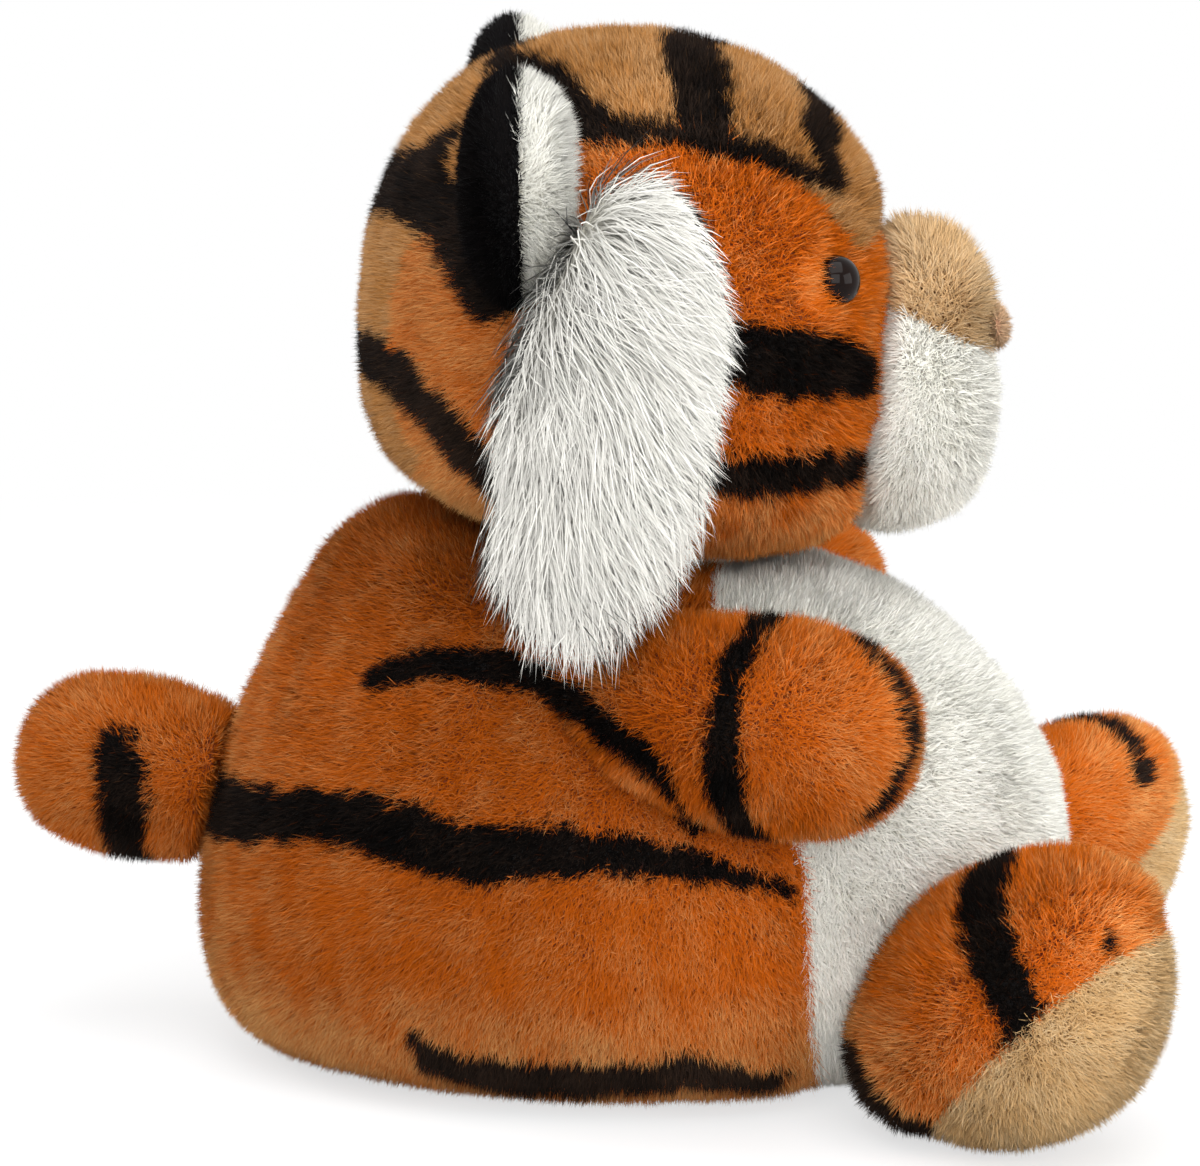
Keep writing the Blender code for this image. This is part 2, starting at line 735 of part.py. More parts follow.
def make_head():
    shell = swell("shell", HEAD)
    cut(shell, swell("cavity", HEAD, 0, -COVER - CAGE_PROUD))
    cut(shell, ball("neck_hole", NECK, NECK_DIAMETER / 2 + GAP))
    cut(shell, swell("muzzle", MUZZLE, 1, GAP))
    crown = cut(copy_of(shell, "crown_gusset"), crown_wedge("wedge", 0), "INTERSECT")
    cut(shell, crown_wedge("wedge", GAP))
    pieces = [dress(crown, "tan")]
    for side, word in ((1, "left"), (-1, "right")):
        beside = half_space("beside", (side * GAP / 2, 0, 0), (side, 0, 0))
        panel = cut(copy_of(shell, f"head_side_{word}"), beside, "INTERSECT")
        cut(panel, eye_seat(side))
        pieces.append(dress(panel, "rust"))
        pieces.append(dress(eye_solid(f"eye_{word}", side), "black", 0.08))
        pieces.append(dress(washer_solid(f"eye_washer_{word}", side), "white", 0.4))
    bpy.data.objects.remove(shell, do_unlink=True)

    muzzle = swell("muzzle_cover", MUZZLE)
    cut(muzzle, swell("cavity", MUZZLE, 0, -COVER - CAGE_PROUD))
    cut(muzzle, swell("head", HEAD, 1, GAP))
    bridge = cut(copy_of(muzzle, "nose_bridge"), bridge_plane(GAP / 2), "INTERSECT")
    cut(muzzle, bridge_plane(-GAP / 2))
    filling = swell("muzzle_stuffing", MUZZLE, 0, -COVER - CAGE_PROUD - GAP)
    cut(filling, swell("inner", HEAD, 0, -COVER - CAGE_PROUD))
    pieces += [dress(muzzle, "white"), dress(bridge, "tan"), dress(filling, "fibre"), make_nose()]

    stuffing = swell("head_stuffing", HEAD, 0, -COVER - CAGE_PROUD - GAP)
    cut(stuffing, ball("socket", NECK, NECK_DIAMETER / 2 + GAP))
    for side in (1, -1):
        cut(stuffing, eye_seat(side))
    pieces.append(dress(stuffing, "fibre"))
    return pieces


def make_ear(side, word):
    """A black back with a hem round its edge, and a pale lining that is hollowed like a cup."""
    root, away = ear_line(side)
    ear = cut(swell(f"ear_back_{word}", ear_form(side)), swell("head", HEAD, 1, GAP))
    lining = cut(swell(f"ear_lining_{word}", ear_form(side, EAR_HEM)), swell("head", HEAD, 1, GAP))
    cut(lining, half_space("front", root - BACKWARD * GAP, -BACKWARD), "INTERSECT")
    cut(ear, half_space("front", root, -BACKWARD))
    hollow = EAR_LENGTH / 2 - EAR_CUP
    cup = ball("cup", root + away * EAR_CUP_SHARE * EAR_REACH - BACKWARD * EAR_LENGTH / 2, hollow, 2)
    cut(lining, cup)
    return [dress(ear, "black"), dress(lining, "white")]


def make_tuft(side, word):
    tuft = swell(f"cheek_tuft_{word}", tuft_form(side))
    cut(tuft, swell("head", HEAD, 1, GAP))
    cut(tuft, swell("ear", ear_form(side), 1, GAP))
    return dress(tuft, "white")


# Joints: an empty stands on each joint's axis and carries the pieces that move with it


def carry(pieces, empty):
    bpy.context.view_layer.update()
    for piece in pieces:
        piece.parent = empty
        piece.matrix_parent_inverse = empty.matrix_world.inverted()


def pivot(name, place, pieces):
    empty = add_object(name, None)
    empty.location = place
    carry(pieces, empty)
    return empty


def body_point(out, back, rise):
    return Vector((out * BODY_WIDTH / 2, back * RUMP_REACH, rise * BODY_HEIGHT))


def ear_joint(side):
    root, away = ear_line(side)
    return root + away * EAR_JOINT_SHARE * EAR_REACH + BACKWARD * EAR_DEPTH / 2


def main():
    clear_scene()
    body_pieces, neck = make_body()
    pivot("body_frame", (0, 0, 0), body_pieces)
    head_pieces = make_head()
    for side, word in ((1, "left"), (-1, "right")):
        head_pieces.append(make_tuft(side, word))
        head_pieces.append(pivot(f"ear_pivot_{word}", ear_joint(side), make_ear(side, word)))
        out, back, rise = ARM_JOINT_SHARES
        pivot(f"arm_pivot_{word}", body_point(side * out, back, rise), make_arm(side, word))
        out, back, rise = FOOT_JOINT_SHARES
        pivot(f"foot_pivot_{word}", body_point(side * out, back, rise), make_foot(side, word))
    pivot("tail_pivot", body_point(0, *TAIL_JOINT_SHARES), make_tail())
    neck_pivot = pivot("neck_pivot", NECK, [neck] + head_pieces)
    neck_pivot.rotation_mode = "AXIS_ANGLE"
    neck_pivot.rotation_axis_angle = (HEAD_TURN, 0, -math.sin(NECK_LEAN), math.cos(NECK_LEAN))
    bpy.context.view_layer.update()


main()
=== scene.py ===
import math

import bmesh
import bpy
import numpy as np
from mathutils import Matrix, Vector
from mathutils.bvhtree import BVHTree


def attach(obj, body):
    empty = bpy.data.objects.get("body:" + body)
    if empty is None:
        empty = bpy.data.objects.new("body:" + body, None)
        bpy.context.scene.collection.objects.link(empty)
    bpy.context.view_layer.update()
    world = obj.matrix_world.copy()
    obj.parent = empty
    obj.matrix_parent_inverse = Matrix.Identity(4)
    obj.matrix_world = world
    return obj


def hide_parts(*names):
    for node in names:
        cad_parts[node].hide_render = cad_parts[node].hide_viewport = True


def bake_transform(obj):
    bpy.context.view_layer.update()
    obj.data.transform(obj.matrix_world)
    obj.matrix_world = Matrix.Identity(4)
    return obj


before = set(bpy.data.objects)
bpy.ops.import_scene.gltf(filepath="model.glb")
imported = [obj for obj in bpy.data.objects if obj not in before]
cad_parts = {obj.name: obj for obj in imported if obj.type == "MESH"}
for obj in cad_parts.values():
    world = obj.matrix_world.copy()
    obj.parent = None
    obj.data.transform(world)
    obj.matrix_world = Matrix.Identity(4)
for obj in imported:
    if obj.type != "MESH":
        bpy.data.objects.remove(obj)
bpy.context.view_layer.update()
scene = bpy.context.scene


# Camera and studio: the tiger faces right and is seen from its right side, from a little above. It sits on a pale
# floor in an even pale room, under a large soft lamp, with more of them beside the camera, in front and behind.


def linear(code):
    """An sRGB hex colour as linear light, with alpha 1."""
    parts = [int(code[k : k + 2], 16) / 255 for k in (1, 3, 5)]
    return (*(c / 12.92 if c <= 0.04045 else ((c + 0.055) / 1.055) ** 2.4 for c in parts), 1)


def add(tree, kind, settings={}, links={}):
    """Adds a shader node. Settings are its own values or those of its inputs. Links go to its inputs from outputs, or
    from nodes with one output."""
    made = tree.nodes.new("ShaderNode" + kind)
    for name, value in settings.items():
        if isinstance(name, str) and hasattr(made, name):
            setattr(made, name, value)
        else:
            made.inputs[name].default_value = value
    for name, source in links.items():
        tree.links.new(source.outputs[0] if hasattr(source, "outputs") else source, made.inputs[name])
    return made


def fresh_material(name):
    """A material and its empty tree."""
    material = bpy.data.materials.new(name)
    material.use_nodes = True
    material.node_tree.nodes.clear()
    return material, material.node_tree


def linked(name, data):
    """A new object at the origin, in the scene."""
    made = bpy.data.objects.new(name, data)
    scene.collection.objects.link(made)
    return made


def aim(thing, place, target):
    """Puts a camera or lamp at a place, and points it at the target."""
    thing.location = place
    thing.rotation_euler = (Vector(target) - Vector(place)).to_track_quat("-Z", "Y").to_euler()


CAMERA_TARGET = Vector((0, 0.0031, 0.0586))
CAMERA_SIDE = Vector((-0.9775, -0.1200, 0.1736)).normalized()
CAMERA_DISTANCE = 0.657
camera = linked("camera", bpy.data.cameras.new("camera"))
camera.data.sensor_width = 36
camera.data.lens = 159.72
camera.data.clip_start = 0.01
aim(camera, CAMERA_TARGET + CAMERA_DISTANCE * CAMERA_SIDE, CAMERA_TARGET)
scene.camera = camera
scene.view_settings.view_transform = "Standard"

LAMP_TARGET = (0, 0, 0.05)
for name, place, size, power in (
    ("overhead_softbox", (-0.25, -0.10, 0.75), 0.70, 5.0),
    ("camera_softbox", (-0.85, -0.20, 0.35), 0.60, 4.2),
    ("front_softbox", (-0.30, -0.85, 0.25), 0.60, 3.6),
    ("back_softbox", (0.30, 0.70, 0.45), 0.50, 3.0),
):
    lamp = bpy.data.lights.new(name, "AREA")
    lamp.size = size
    lamp.energy = power
    aim(linked(name, lamp), place, LAMP_TARGET)


def seen_itself(tree):
    """1 for a ray that shows the room or the floor itself, in the picture, in a gloss or through glass. Otherwise 0."""
    paths = add(tree, "LightPath").outputs
    seen = add(tree, "Math", {"operation": "MAXIMUM"}, {0: paths["Is Camera Ray"], 1: paths["Is Glossy Ray"]})
    return add(tree, "Math", {"operation": "MAXIMUM"}, {0: seen, 1: paths["Is Transmission Ray"]})


ROOM_LIGHT = 0.65
world = bpy.data.worlds.new("studio")
scene.world = world
world.use_nodes = True
tree = world.node_tree
tree.nodes.clear()
strength = add(tree, "MapRange", {"To Min": ROOM_LIGHT, "To Max": 1.0}, {"Value": seen_itself(tree)})
sky = add(tree, "Background", {"Color": linear("#ffffff")}, {"Strength": strength})
add(tree, "OutputWorld", {}, {"Surface": sky})

FLOOR_SIZE = 4
FLOOR_LEVEL = -0.0002
bpy.ops.object.select_all(action="DESELECT")
bpy.ops.mesh.primitive_plane_add(size=FLOOR_SIZE, location=(0, 0, FLOOR_LEVEL))
floor = bpy.context.object
floor.name = "floor"
floor.data.transform(Matrix.Translation(floor.location))
floor.location = (0, 0, 0)
# Matt white floor paper: takes a soft contact shadow beside the tiger and fades into the white room.
material, tree = fresh_material("matt white floor paper")
place = add(tree, "TexCoord").outputs["Object"]
away = add(tree, "VectorMath", {"operation": "LENGTH"}, {0: place}).outputs["Value"]
share = add(tree, "MapRange", {"From Min": 0.12, "From Max": 0.45, "To Min": 0.66, "To Max": 1.0}, {"Value": away})
half = add(tree, "Math", {"operation": "MULTIPLY"}, {0: seen_itself(tree), 1: share})
paper = add(tree, "BsdfDiffuse", {"Color": linear("#f2f2f2")})
glow = add(tree, "Emission", {"Color": linear("#ffffff"), "Strength": 1.0})
both = add(tree, "MixShader", {}, {0: half, 1: paper, 2: glow})
add(tree, "OutputMaterial", {}, {"Surface": both})
floor.data.materials.append(material)


# Body: two side-and-back panels of striped rust plush, a white belly panel and a seat panel, sewn right sides
# together, turned and stuffed with fibre. The cloth is pulled in along the seams and swells between them.

MM = 0.001


def apply(piece, modifier):
    """Makes a modifier part of the piece's mesh."""
    bpy.ops.object.select_all(action="DESELECT")
    piece.select_set(True)
    bpy.context.view_layer.objects.active = piece
    bpy.ops.object.modifier_apply(modifier=modifier.name)


def closed_form(name, nodes, cell, plugs=()):
    """One closed form from copies of the CAD covers and their stuffing. Plugs are balls that fill holes, each with its
    middle and radius."""
    bm = bmesh.new()
    for node in nodes:
        bm.from_mesh(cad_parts[node].data)
    for middle, radius in plugs:
        made = bmesh.ops.create_icosphere(bm, subdivisions=3, radius=radius)
        bmesh.ops.translate(bm, vec=middle, verts=made["verts"])
    bmesh.ops.remove_doubles(bm, verts=bm.verts[:], dist=1e-6)
    mesh = bpy.data.meshes.new(name)
    bm.to_mesh(mesh)
    bm.free()
    piece = linked(name, mesh)
    remesh = piece.modifiers.new("cells", "REMESH")
    remesh.mode = "VOXEL"
    remesh.voxel_size = cell
    apply(piece, remesh)
    smooth = piece.modifiers.new("even", "SMOOTH")
    smooth.factor = 0.5
    smooth.iterations = 4
    apply(piece, smooth)
    return piece


def points_of(mesh, what="co"):
    """The mesh's points, or its points' normals, one row for each."""
    flat = np.empty(len(mesh.vertices) * 3, np.float32)
    mesh.vertices.foreach_get(what, flat)
    return flat.reshape(-1, 3).astype(float)


def move_points(mesh, points):
    """Puts the mesh's points at these places."""
    mesh.vertices.foreach_set("co", points.astype(np.float32).ravel())


def surface_of(node):
    """A CAD node's surface, to find the nearest spot on it."""
    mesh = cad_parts[node].data
    return BVHTree.FromPolygons([v.co for v in mesh.vertices], [p.vertices for p in mesh.polygons])


def distances(points, nodes):
    """How far each point is from each of these CAD nodes, one row for each node."""
    trees = [surface_of(node) for node in nodes]
    return np.array([[tree.find_nearest(p)[3] for p in points] for tree in trees])


def keep_outside(points, nodes, gap):
    """Moves points that lie inside these CAD nodes, or nearer to them than the gap, out to the gap."""
    for node in nodes:
        tree = surface_of(node)
        for k, point in enumerate(points):
            spot, way, _, _ = tree.find_nearest(Vector(point))
            if (Vector(point) - spot).dot(way) < gap:
                points[k] = spot + way * gap


SEAM_WIDTH = 2.2 * MM  # how far from a seam the cloth is still pulled in
SEAT_HEIGHT = 0.8 * MM  # below this the cloth is pressed flat by the seat
FIBRE_GAP = 0.5 * MM  # between the cloth and the fibre inside
SIM_FRAMES = 20
SLACK, FULL = 4, 60  # percentiles of how far the sim lifts the cloth, where it counts as slack and as full


def stuffed(name, covers, stuffing, cell, plugs=(), depth=0.7, swell=1.0):
    """A stuffed form: the cloth is held along its seams and air pressure swells it between them. Depth and swell are
    in mm: at its fullest the cloth ends this deep inside the solids, to leave room for its pile, and at a seam it lies
    deeper by the swell."""
    piece = closed_form(name, (*covers, *stuffing), cell, plugs)
    mesh = piece.data
    surface, normals = points_of(mesh), points_of(mesh, "normal")
    # The cloth starts slack, at the depth of its seams. Here and further on it stays just above the floor.
    before = surface - normals * (depth + swell) * MM
    before[:, 2] = np.maximum(before[:, 2], 0.3 * MM)
    move_points(mesh, before)
    held = np.zeros(len(before))
    if len(covers) > 1:
        near = np.sort(distances([Vector(p) for p in before], covers), axis=0)
        held = np.clip(1.3 - (near[1] - near[0]) / SEAM_WIDTH, 0, 1)
    held[before[:, 2] < SEAT_HEIGHT] = 1
    share = 1 - held
    group = piece.vertex_groups.new(name="seams")
    for k in np.flatnonzero(held > 0.02):
        group.add([int(k)], float(held[k]), "REPLACE")
    cloth = piece.modifiers.new("cloth", "CLOTH")
    cloth.settings.vertex_group_mass = "seams"
    cloth.settings.use_pressure = True
    cloth.settings.uniform_pressure_force = 4
    cloth.settings.effector_weights.gravity = 0
    cloth.point_cache.frame_end = SIM_FRAMES
    for step in range(1, SIM_FRAMES + 1):
        scene.frame_set(step)
    graph = bpy.context.evaluated_depsgraph_get()
    lift = ((points_of(piece.evaluated_get(graph).data) - before) * normals).sum(1)
    piece.modifiers.remove(cloth)
    scene.frame_set(1)
    low, high = np.percentile(lift, (SLACK, FULL))
    share = np.minimum(share, np.clip((lift - low) / max(high - low, 1e-9), 0, 1))
    after = surface - normals * ((depth + swell * (1 - share)) * MM)[:, None]
    after[:, 2] = np.maximum(after[:, 2], 0.2 * MM)
    move_points(mesh, after)
    mesh.update()
    finer = piece.modifiers.new("finer", "SUBSURF")
    finer.levels = 1
    finer.render_levels = 1
    apply(piece, finer)
    points = points_of(piece.data)
    keep_outside(points, stuffing, FIBRE_GAP)
    points[:, 2] = np.maximum(points[:, 2], 0.1 * MM)
    move_points(piece.data, points)
    piece.data.shade_smooth()
    piece.data.update()
    piece["covers"] = list(covers)
    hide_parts(*covers)
    return piece


NECK_HOLE = 15.8 * MM  # the radius of a ball that closes the opening for the neck
body_skin = stuffed(
    "body_cloth", ("back_panel_right", "back_panel_left", "belly_panel", "seat_panel"), ("body_stuffing",), 2.6 * MM,
    [(Vector((0, 0.001, 0.054)), NECK_HOLE)],
)


def waves(points, size, seed, count=9):
    """Smooth random values from about -1 to 1 that change over this size."""
    random = np.random.default_rng(seed)
    turns = random.normal(size=(count, 3))
    turns *= (2 * math.pi / size / np.linalg.norm(turns, axis=1) * random.uniform(0.6, 1.5, count))[:, None]
    return np.sin(points @ turns.T + random.uniform(0, 6.28, count)).sum(1) / math.sqrt(count)


STRIPE_EDGE = 1.7  # in mm: how wide a stripe's edge is, where black and coloured hairs mix


def darkness(points, lines, seed=1):
    """How black the cloth is at each point, from 0 to 1. A line of a stripe has points in mm, each with the stripe's
    half width there. The stripe's edge wanders a little."""
    shade = np.zeros(len(points))
    # The edge wanders by about half a mm over 5 mm, and by half of that over 1.4 mm.
    wander = waves(points, 5 * MM, seed) * 0.45 + waves(points, 1.4 * MM, seed + 1) * 0.25
    spots = points / MM
    for line in lines:
        line = np.array(line, float)
        for a, b in zip(line[:-1], line[1:]):
            step = (b - a)[:3]
            along = np.clip((spots - a[:3]) @ step / max(step @ step, 1e-9), 0, 1)
            gap = np.linalg.norm(spots - a[:3] - along[:, None] * step, axis=1)
            half = a[3] + along * (b[3] - a[3])
            shade = np.maximum(shade, np.clip((half - gap + wander) / STRIPE_EDGE + 0.5, 0, 1))
    return shade


def unit(vectors):
    """Each row, scaled to the length 1."""
    return vectors / np.maximum(np.linalg.norm(vectors, axis=1), 1e-12)[:, None]


def nearest_cover(skin):
    """For each triangle of a stuffed form: its corners, its area, the number of its nearest cover, and by how much the
    next one is further. Last, for each face, the number of its nearest cover."""
    mesh = skin.data
    covers = list(skin["covers"])
    near = distances([p.center for p in mesh.polygons], covers)
    which = near.argmin(0)
    lead = np.sort(near, axis=0)[1] - near.min(0) if len(covers) > 1 else np.full(len(which), 1.0)
    mesh.calc_loop_triangles()
    corners = np.empty(len(mesh.loop_triangles) * 3, np.int32)
    mesh.loop_triangles.foreach_get("vertices", corners)
    corners = corners.reshape(-1, 3)
    face = np.empty(len(mesh.loop_triangles), np.int32)
    mesh.loop_triangles.foreach_get("polygon_index", face)
    points = points_of(mesh)
    a, b, c = (points[corners[:, k]] for k in range(3))
    area = np.linalg.norm(np.cross(b - a, c - a), axis=1) / 2
    return corners, area, which[face], lead[face], which


known_covers = {}
MOST_TRIANGLES = 198000  # for the pile on one cover
SEAM_ZONE = 1.6 * MM  # where two covers are about as near, so each hair finds its own
ROOT_DEPTH = 0.2 * MM
FLOOR_GAP = 0.15 * MM


def set_values(mesh, label, values):
    """A value for each point of a mesh, for its material to read."""
    mesh.attributes.new(label, "FLOAT", "POINT").data.foreach_set("value", values.astype(np.float32).ravel())


def pile(
    name, skin, cover, seed, density=28.0, length=2.5, width=0.20, lean=27, source=(0, 0, 0.1), pull=(0, 0, 0),
    steps=2, bend=28, lines=(), mirrored=None, frost=None, shade=None, bare=None, within=None,
    clump=0.9, gather=0.22, fuzz=0.28, droop=0.0,
):
    """The pile on one cover of a stuffed form, as hairs of this length, width and density to the square mm. They lean,
    in degrees, away from the source and along the pull. Each is a strip that tapers in steps towards its tip. Some
    arguments are functions of points: bare gives each root's share of the length, 0 for no hair, frost how pale the
    tips are, shade a brightness that paints light and shade where it makes one cloth brighter or darker, mirrored
    where the stripes' lines are read, and within whether a tip is inside an outline. Clump is the size in mm of the
    locks that tips gather into."""
    if skin.name not in known_covers:
        known_covers[skin.name] = nearest_cover(skin)
    corners, area, which, lead, _ = known_covers[skin.name]
    points, normals = points_of(skin.data), points_of(skin.data, "normal")
    covers = list(skin["covers"])
    number = covers.index(cover)
    chosen = (which == number) | (lead < SEAM_ZONE)
    corners, area, lead = corners[chosen], area[chosen], lead[chosen]
    random = np.random.default_rng(seed)
    count = int(area.sum() / MM / MM * density * (1))
    place = (np.arange(count) + random.random(count)) / count * area.sum()
    triangle = np.minimum(np.searchsorted(np.cumsum(area), place), len(area) - 1)
    picked = corners[triangle]
    u, v = random.random(count), random.random(count)
    over = u + v > 1
    u[over], v[over] = 1 - u[over], 1 - v[over]
    share = np.stack([1 - u - v, u, v], axis=1)[:, :, None]
    root = (points[picked] * share).sum(1)
    normal = unit((normals[picked] * share).sum(1))
    kept = root[:, 2] > 0.5 * MM
    unsure = np.flatnonzero(lead[triangle] < SEAM_ZONE)
    if len(covers) > 1 and len(unsure):
        kept[unsure] &= distances([Vector(p) for p in root[unsure]], covers).argmin(0) == number
    # The length varies by 6% in patches of 9 mm, and by 10% from hair to hair.
    size = length * MM * np.clip(1 + waves(root, 9 * MM, seed + 7) * 0.06 + random.normal(0, 0.10, count), 0.6, 1.3)
    if bare is not None:
        left = bare(root)
        kept &= left > 0
        size *= left
    most = MOST_TRIANGLES // (2 * steps - 3)
    kept[random.permutation(np.flatnonzero(kept))[most:]] = False
    root, normal, size = root[kept], normal[kept], size[kept]
    count = len(root)

    # Where each hair heads: the combing swirls in patches of 14 mm, and the lean varies by 6 degrees in patches.
    comb = unit(root - np.array(source)) + (pull(root) if callable(pull) else np.array(pull))
    comb = unit(comb - normal * (comb * normal).sum(1)[:, None])
    side = np.cross(normal, comb)
    swirl = waves(root, 14 * MM, seed + 5) * 0.3 + random.normal(0, 0.3, count)
    comb = comb * np.cos(swirl)[:, None] + side * np.sin(swirl)[:, None]
    angle = np.radians(lean + waves(root, 6 * MM, seed + 6) * 6 + random.normal(0, 10, count))
    path = [root - normal * ROOT_DEPTH]
    for k in range(steps - 1):
        turn = angle + math.radians(bend) * (k / max(steps - 2, 1) - 0.5) * (steps > 2)
        heading = normal * np.cos(turn)[:, None] + comb * np.sin(turn)[:, None]
        heading = unit(heading + random.normal(0, fuzz, (count, 3)) / (k + 1) + np.array([0, 0, -droop * k]))
        path.append(path[-1] + heading * (size / (steps - 1))[:, None])
    path = np.array(path)

    # The tips gather towards the middle of their lock, and hairs that stick out of the outline are shortened.
    warped = root + np.stack([waves(root, 3 * MM, seed + 8 + k) for k in range(3)], axis=1) * 0.4 * MM
    _, group = np.unique(np.floor(warped / (clump * MM)).astype(int), axis=0, return_inverse=True)
    group = group.ravel()
    members = np.bincount(group).astype(float)
    mean_root = np.stack([np.bincount(group, root[:, k]) / members for k in range(3)], axis=1)[group]
    for k in range(1, steps):
        path[k] += (mean_root - root) * gather * (k / (steps - 1)) ** 1.5
    if within is not None:
        for share in (0.88, 0.85, 0.82, 0.78, 0.72, 0.65):
            out = ~within(path[-1])
            path[:, out] = root[out] + (path[:, out] - root[out]) * share
    path[:, :, 2] = np.maximum(path[:, :, 2], FLOOR_GAP)

    # Each strip faces outwards, more or less, and has one colour, read 0.6 of the way along it.
    offset = path[1] - path[0]
    across = unit(np.cross(offset, normal))
    facing = unit(np.cross(across, offset))
    roll = random.uniform(-0.7, 0.7, count)
    across = across * np.cos(roll)[:, None] + facing * np.sin(roll)[:, None]
    thick = width * MM * random.uniform(0.75, 1.25, count)
    spots = root + (path[-1] - root) * 0.6
    if mirrored:
        spots = mirrored(spots)
    dark = darkness(spots, lines, seed) if lines else np.zeros(count)
    dark = np.clip((dark - random.uniform(0.1, 0.9, count)) / 0.25 + 0.5, 0, 1)
    # Painted light and shade: shade makes parts and pieces of one cloth brighter or darker. On top, each hair's
    # brightness varies a little at random.
    tone_and_shade = (shade(spots) if shade else 1) * (1 + random.normal(0, 0.07, count))
    pale = (frost(spots) if frost else 0.35) + waves(root, 7 * MM, seed + 12) * 0.16 + random.normal(0, 0.22, count)

    # Two points at each step and one at the tip. In the bake's map each hair has a cell of its own.
    per = 2 * steps - 1
    verts = np.empty((count, per, 3))
    along = np.empty((count, per))
    uv = np.empty((count, per, 2))
    for k in range(steps - 1):
        reach = k / (steps - 1)
        half = across * (thick * (1 - 0.55 * reach) / 2)[:, None]
        verts[:, 2 * k] = path[k] - half
        verts[:, 2 * k + 1] = path[k] + half
        along[:, 2 * k : 2 * k + 2] = reach
        uv[:, 2 * k], uv[:, 2 * k + 1] = (0.08, 0.06 + 0.88 * reach), (0.92, 0.06 + 0.88 * reach)
    verts[:, -1], along[:, -1], uv[:, -1] = path[-1], 1, (0.5, 0.94)
    faces = []
    for k in range(steps - 2):
        faces += [(2 * k, 2 * k + 1, 2 * k + 3), (2 * k, 2 * k + 3, 2 * k + 2)]
    faces.append((per - 3, per - 2, per - 1))
    faces = (np.array(faces)[None] + (np.arange(count) * per)[:, None, None]).reshape(-1, 3)

    mesh = bpy.data.meshes.new(name)
    mesh.vertices.add(count * per)
    move_points(mesh, verts)
    mesh.loops.add(len(faces) * 3)
    mesh.loops.foreach_set("vertex_index", faces.astype(np.int32).ravel())
    mesh.polygons.add(len(faces))
    mesh.polygons.foreach_set("loop_start", np.arange(0, len(faces) * 3, 3, dtype=np.int32))
    mesh.update(calc_edges=True)
    mesh.shade_smooth()
    set_values(mesh, "along", along)
    for label, values in (("dark", dark), ("tone_and_shade", tone_and_shade), ("frost", np.clip(pale, 0, 1))):
        set_values(mesh, label, np.repeat(values, per))
    upright = np.repeat(unit(normal + random.normal(0, 0.2, (count, 3))), per, axis=0).astype(np.float32)
    mesh.attributes.new("upright", "FLOAT_VECTOR", "POINT").data.foreach_set("vector", upright.ravel())
    mesh.normals_split_custom_set_from_vertices(upright)
    grid = math.ceil(math.sqrt(count))
    order = np.empty(count, int)
    order[np.lexsort((root[:, 1], np.floor(root[:, 2] / (2.5 * MM))))] = np.arange(count)
    corner = np.stack([order % grid, order // grid], axis=1)[:, None]
    uv = ((uv + corner) / grid).reshape(-1, 2)
    mesh.uv_layers.new(name="OFBake").data.foreach_set("uv", uv[faces.ravel()].astype(np.float32).ravel())
    return linked(name, mesh)


FLECK = 0.5  # in mm: coarser than a fibre, so that it shows


def plush(name, root, shaft, tip, black_shaft="#0a0807", black_tip="#3a2c23"):
    """The hairs of a plush: darker at the roots, which is painted shade between the hairs, full colour along them, and
    paler, frosted tips in patches, with a fleck every half mm. Each hair's brightness holds painted light and shade as
    well as a random tone. They are lit as the cloth under them lies, with only a rim of gloss, so the pile looks soft."""
    material, tree = fresh_material(name)
    along, dark, tone_and_shade, frost = (
        add(tree, "Attribute", {"attribute_name": label}).outputs["Fac"] for label in ("along", "dark", "tone_and_shade", "frost")
    )
    upright = add(tree, "Attribute", {"attribute_name": "upright"}).outputs["Vector"]
    place = add(tree, "TexCoord").outputs["Object"]
    fibre = add(tree, "TexNoise", {"Scale": 1000 / FLECK, "Detail": 1.0}, {"Vector": place}).outputs["Fac"]
    reach = add(tree, "MapRange", {"From Min": 0.25, "From Max": 0.85}, {"Value": along})
    reach = add(tree, "Math", {"operation": "MULTIPLY"}, {0: reach, 1: frost})
    # Painted shade: the colour darkens from the shaft to the root colour over the lowest third of each hair.
    base = add(tree, "MapRange", {"From Min": 0.0, "From Max": 0.32}, {"Value": along})
    lower = add(tree, "Mix", {"data_type": "RGBA", 6: linear(root), 7: linear(shaft)}, {0: base}).outputs[2]
    upper = add(tree, "Mix", {"data_type": "RGBA", 7: linear(tip)}, {0: reach, 6: lower}).outputs[2]
    black = add(tree, "Mix", {"data_type": "RGBA", 6: linear(black_shaft), 7: linear(black_tip)}, {0: reach}).outputs[2]
    coat = add(tree, "Mix", {"data_type": "RGBA"}, {0: dark, 6: upper, 7: black}).outputs[2]
    fleck = add(tree, "Math", {"operation": "MULTIPLY_ADD", 1: 0.24, 2: -0.12}, {0: fibre})
    light = add(tree, "Math", {"operation": "ADD"}, {0: fleck, 1: tone_and_shade})
    coat = add(tree, "VectorMath", {"operation": "SCALE"}, {0: coat, "Scale": light})
    cloth = {"vector_type": "NORMAL", "convert_from": "OBJECT", "convert_to": "WORLD"}
    cloth = add(tree, "VectorTransform", cloth, {"Vector": upright})
    facing = add(tree, "VectorMath", {"operation": "NORMALIZE"}, {0: cloth})
    gloss = {"Roughness": 0.7, "Specular IOR Level": 0.04}
    shader = add(tree, "BsdfPrincipled", gloss, {"Base Color": coat, "Normal": facing})
    add(tree, "OutputMaterial", {}, {"Surface": shader})
    return material


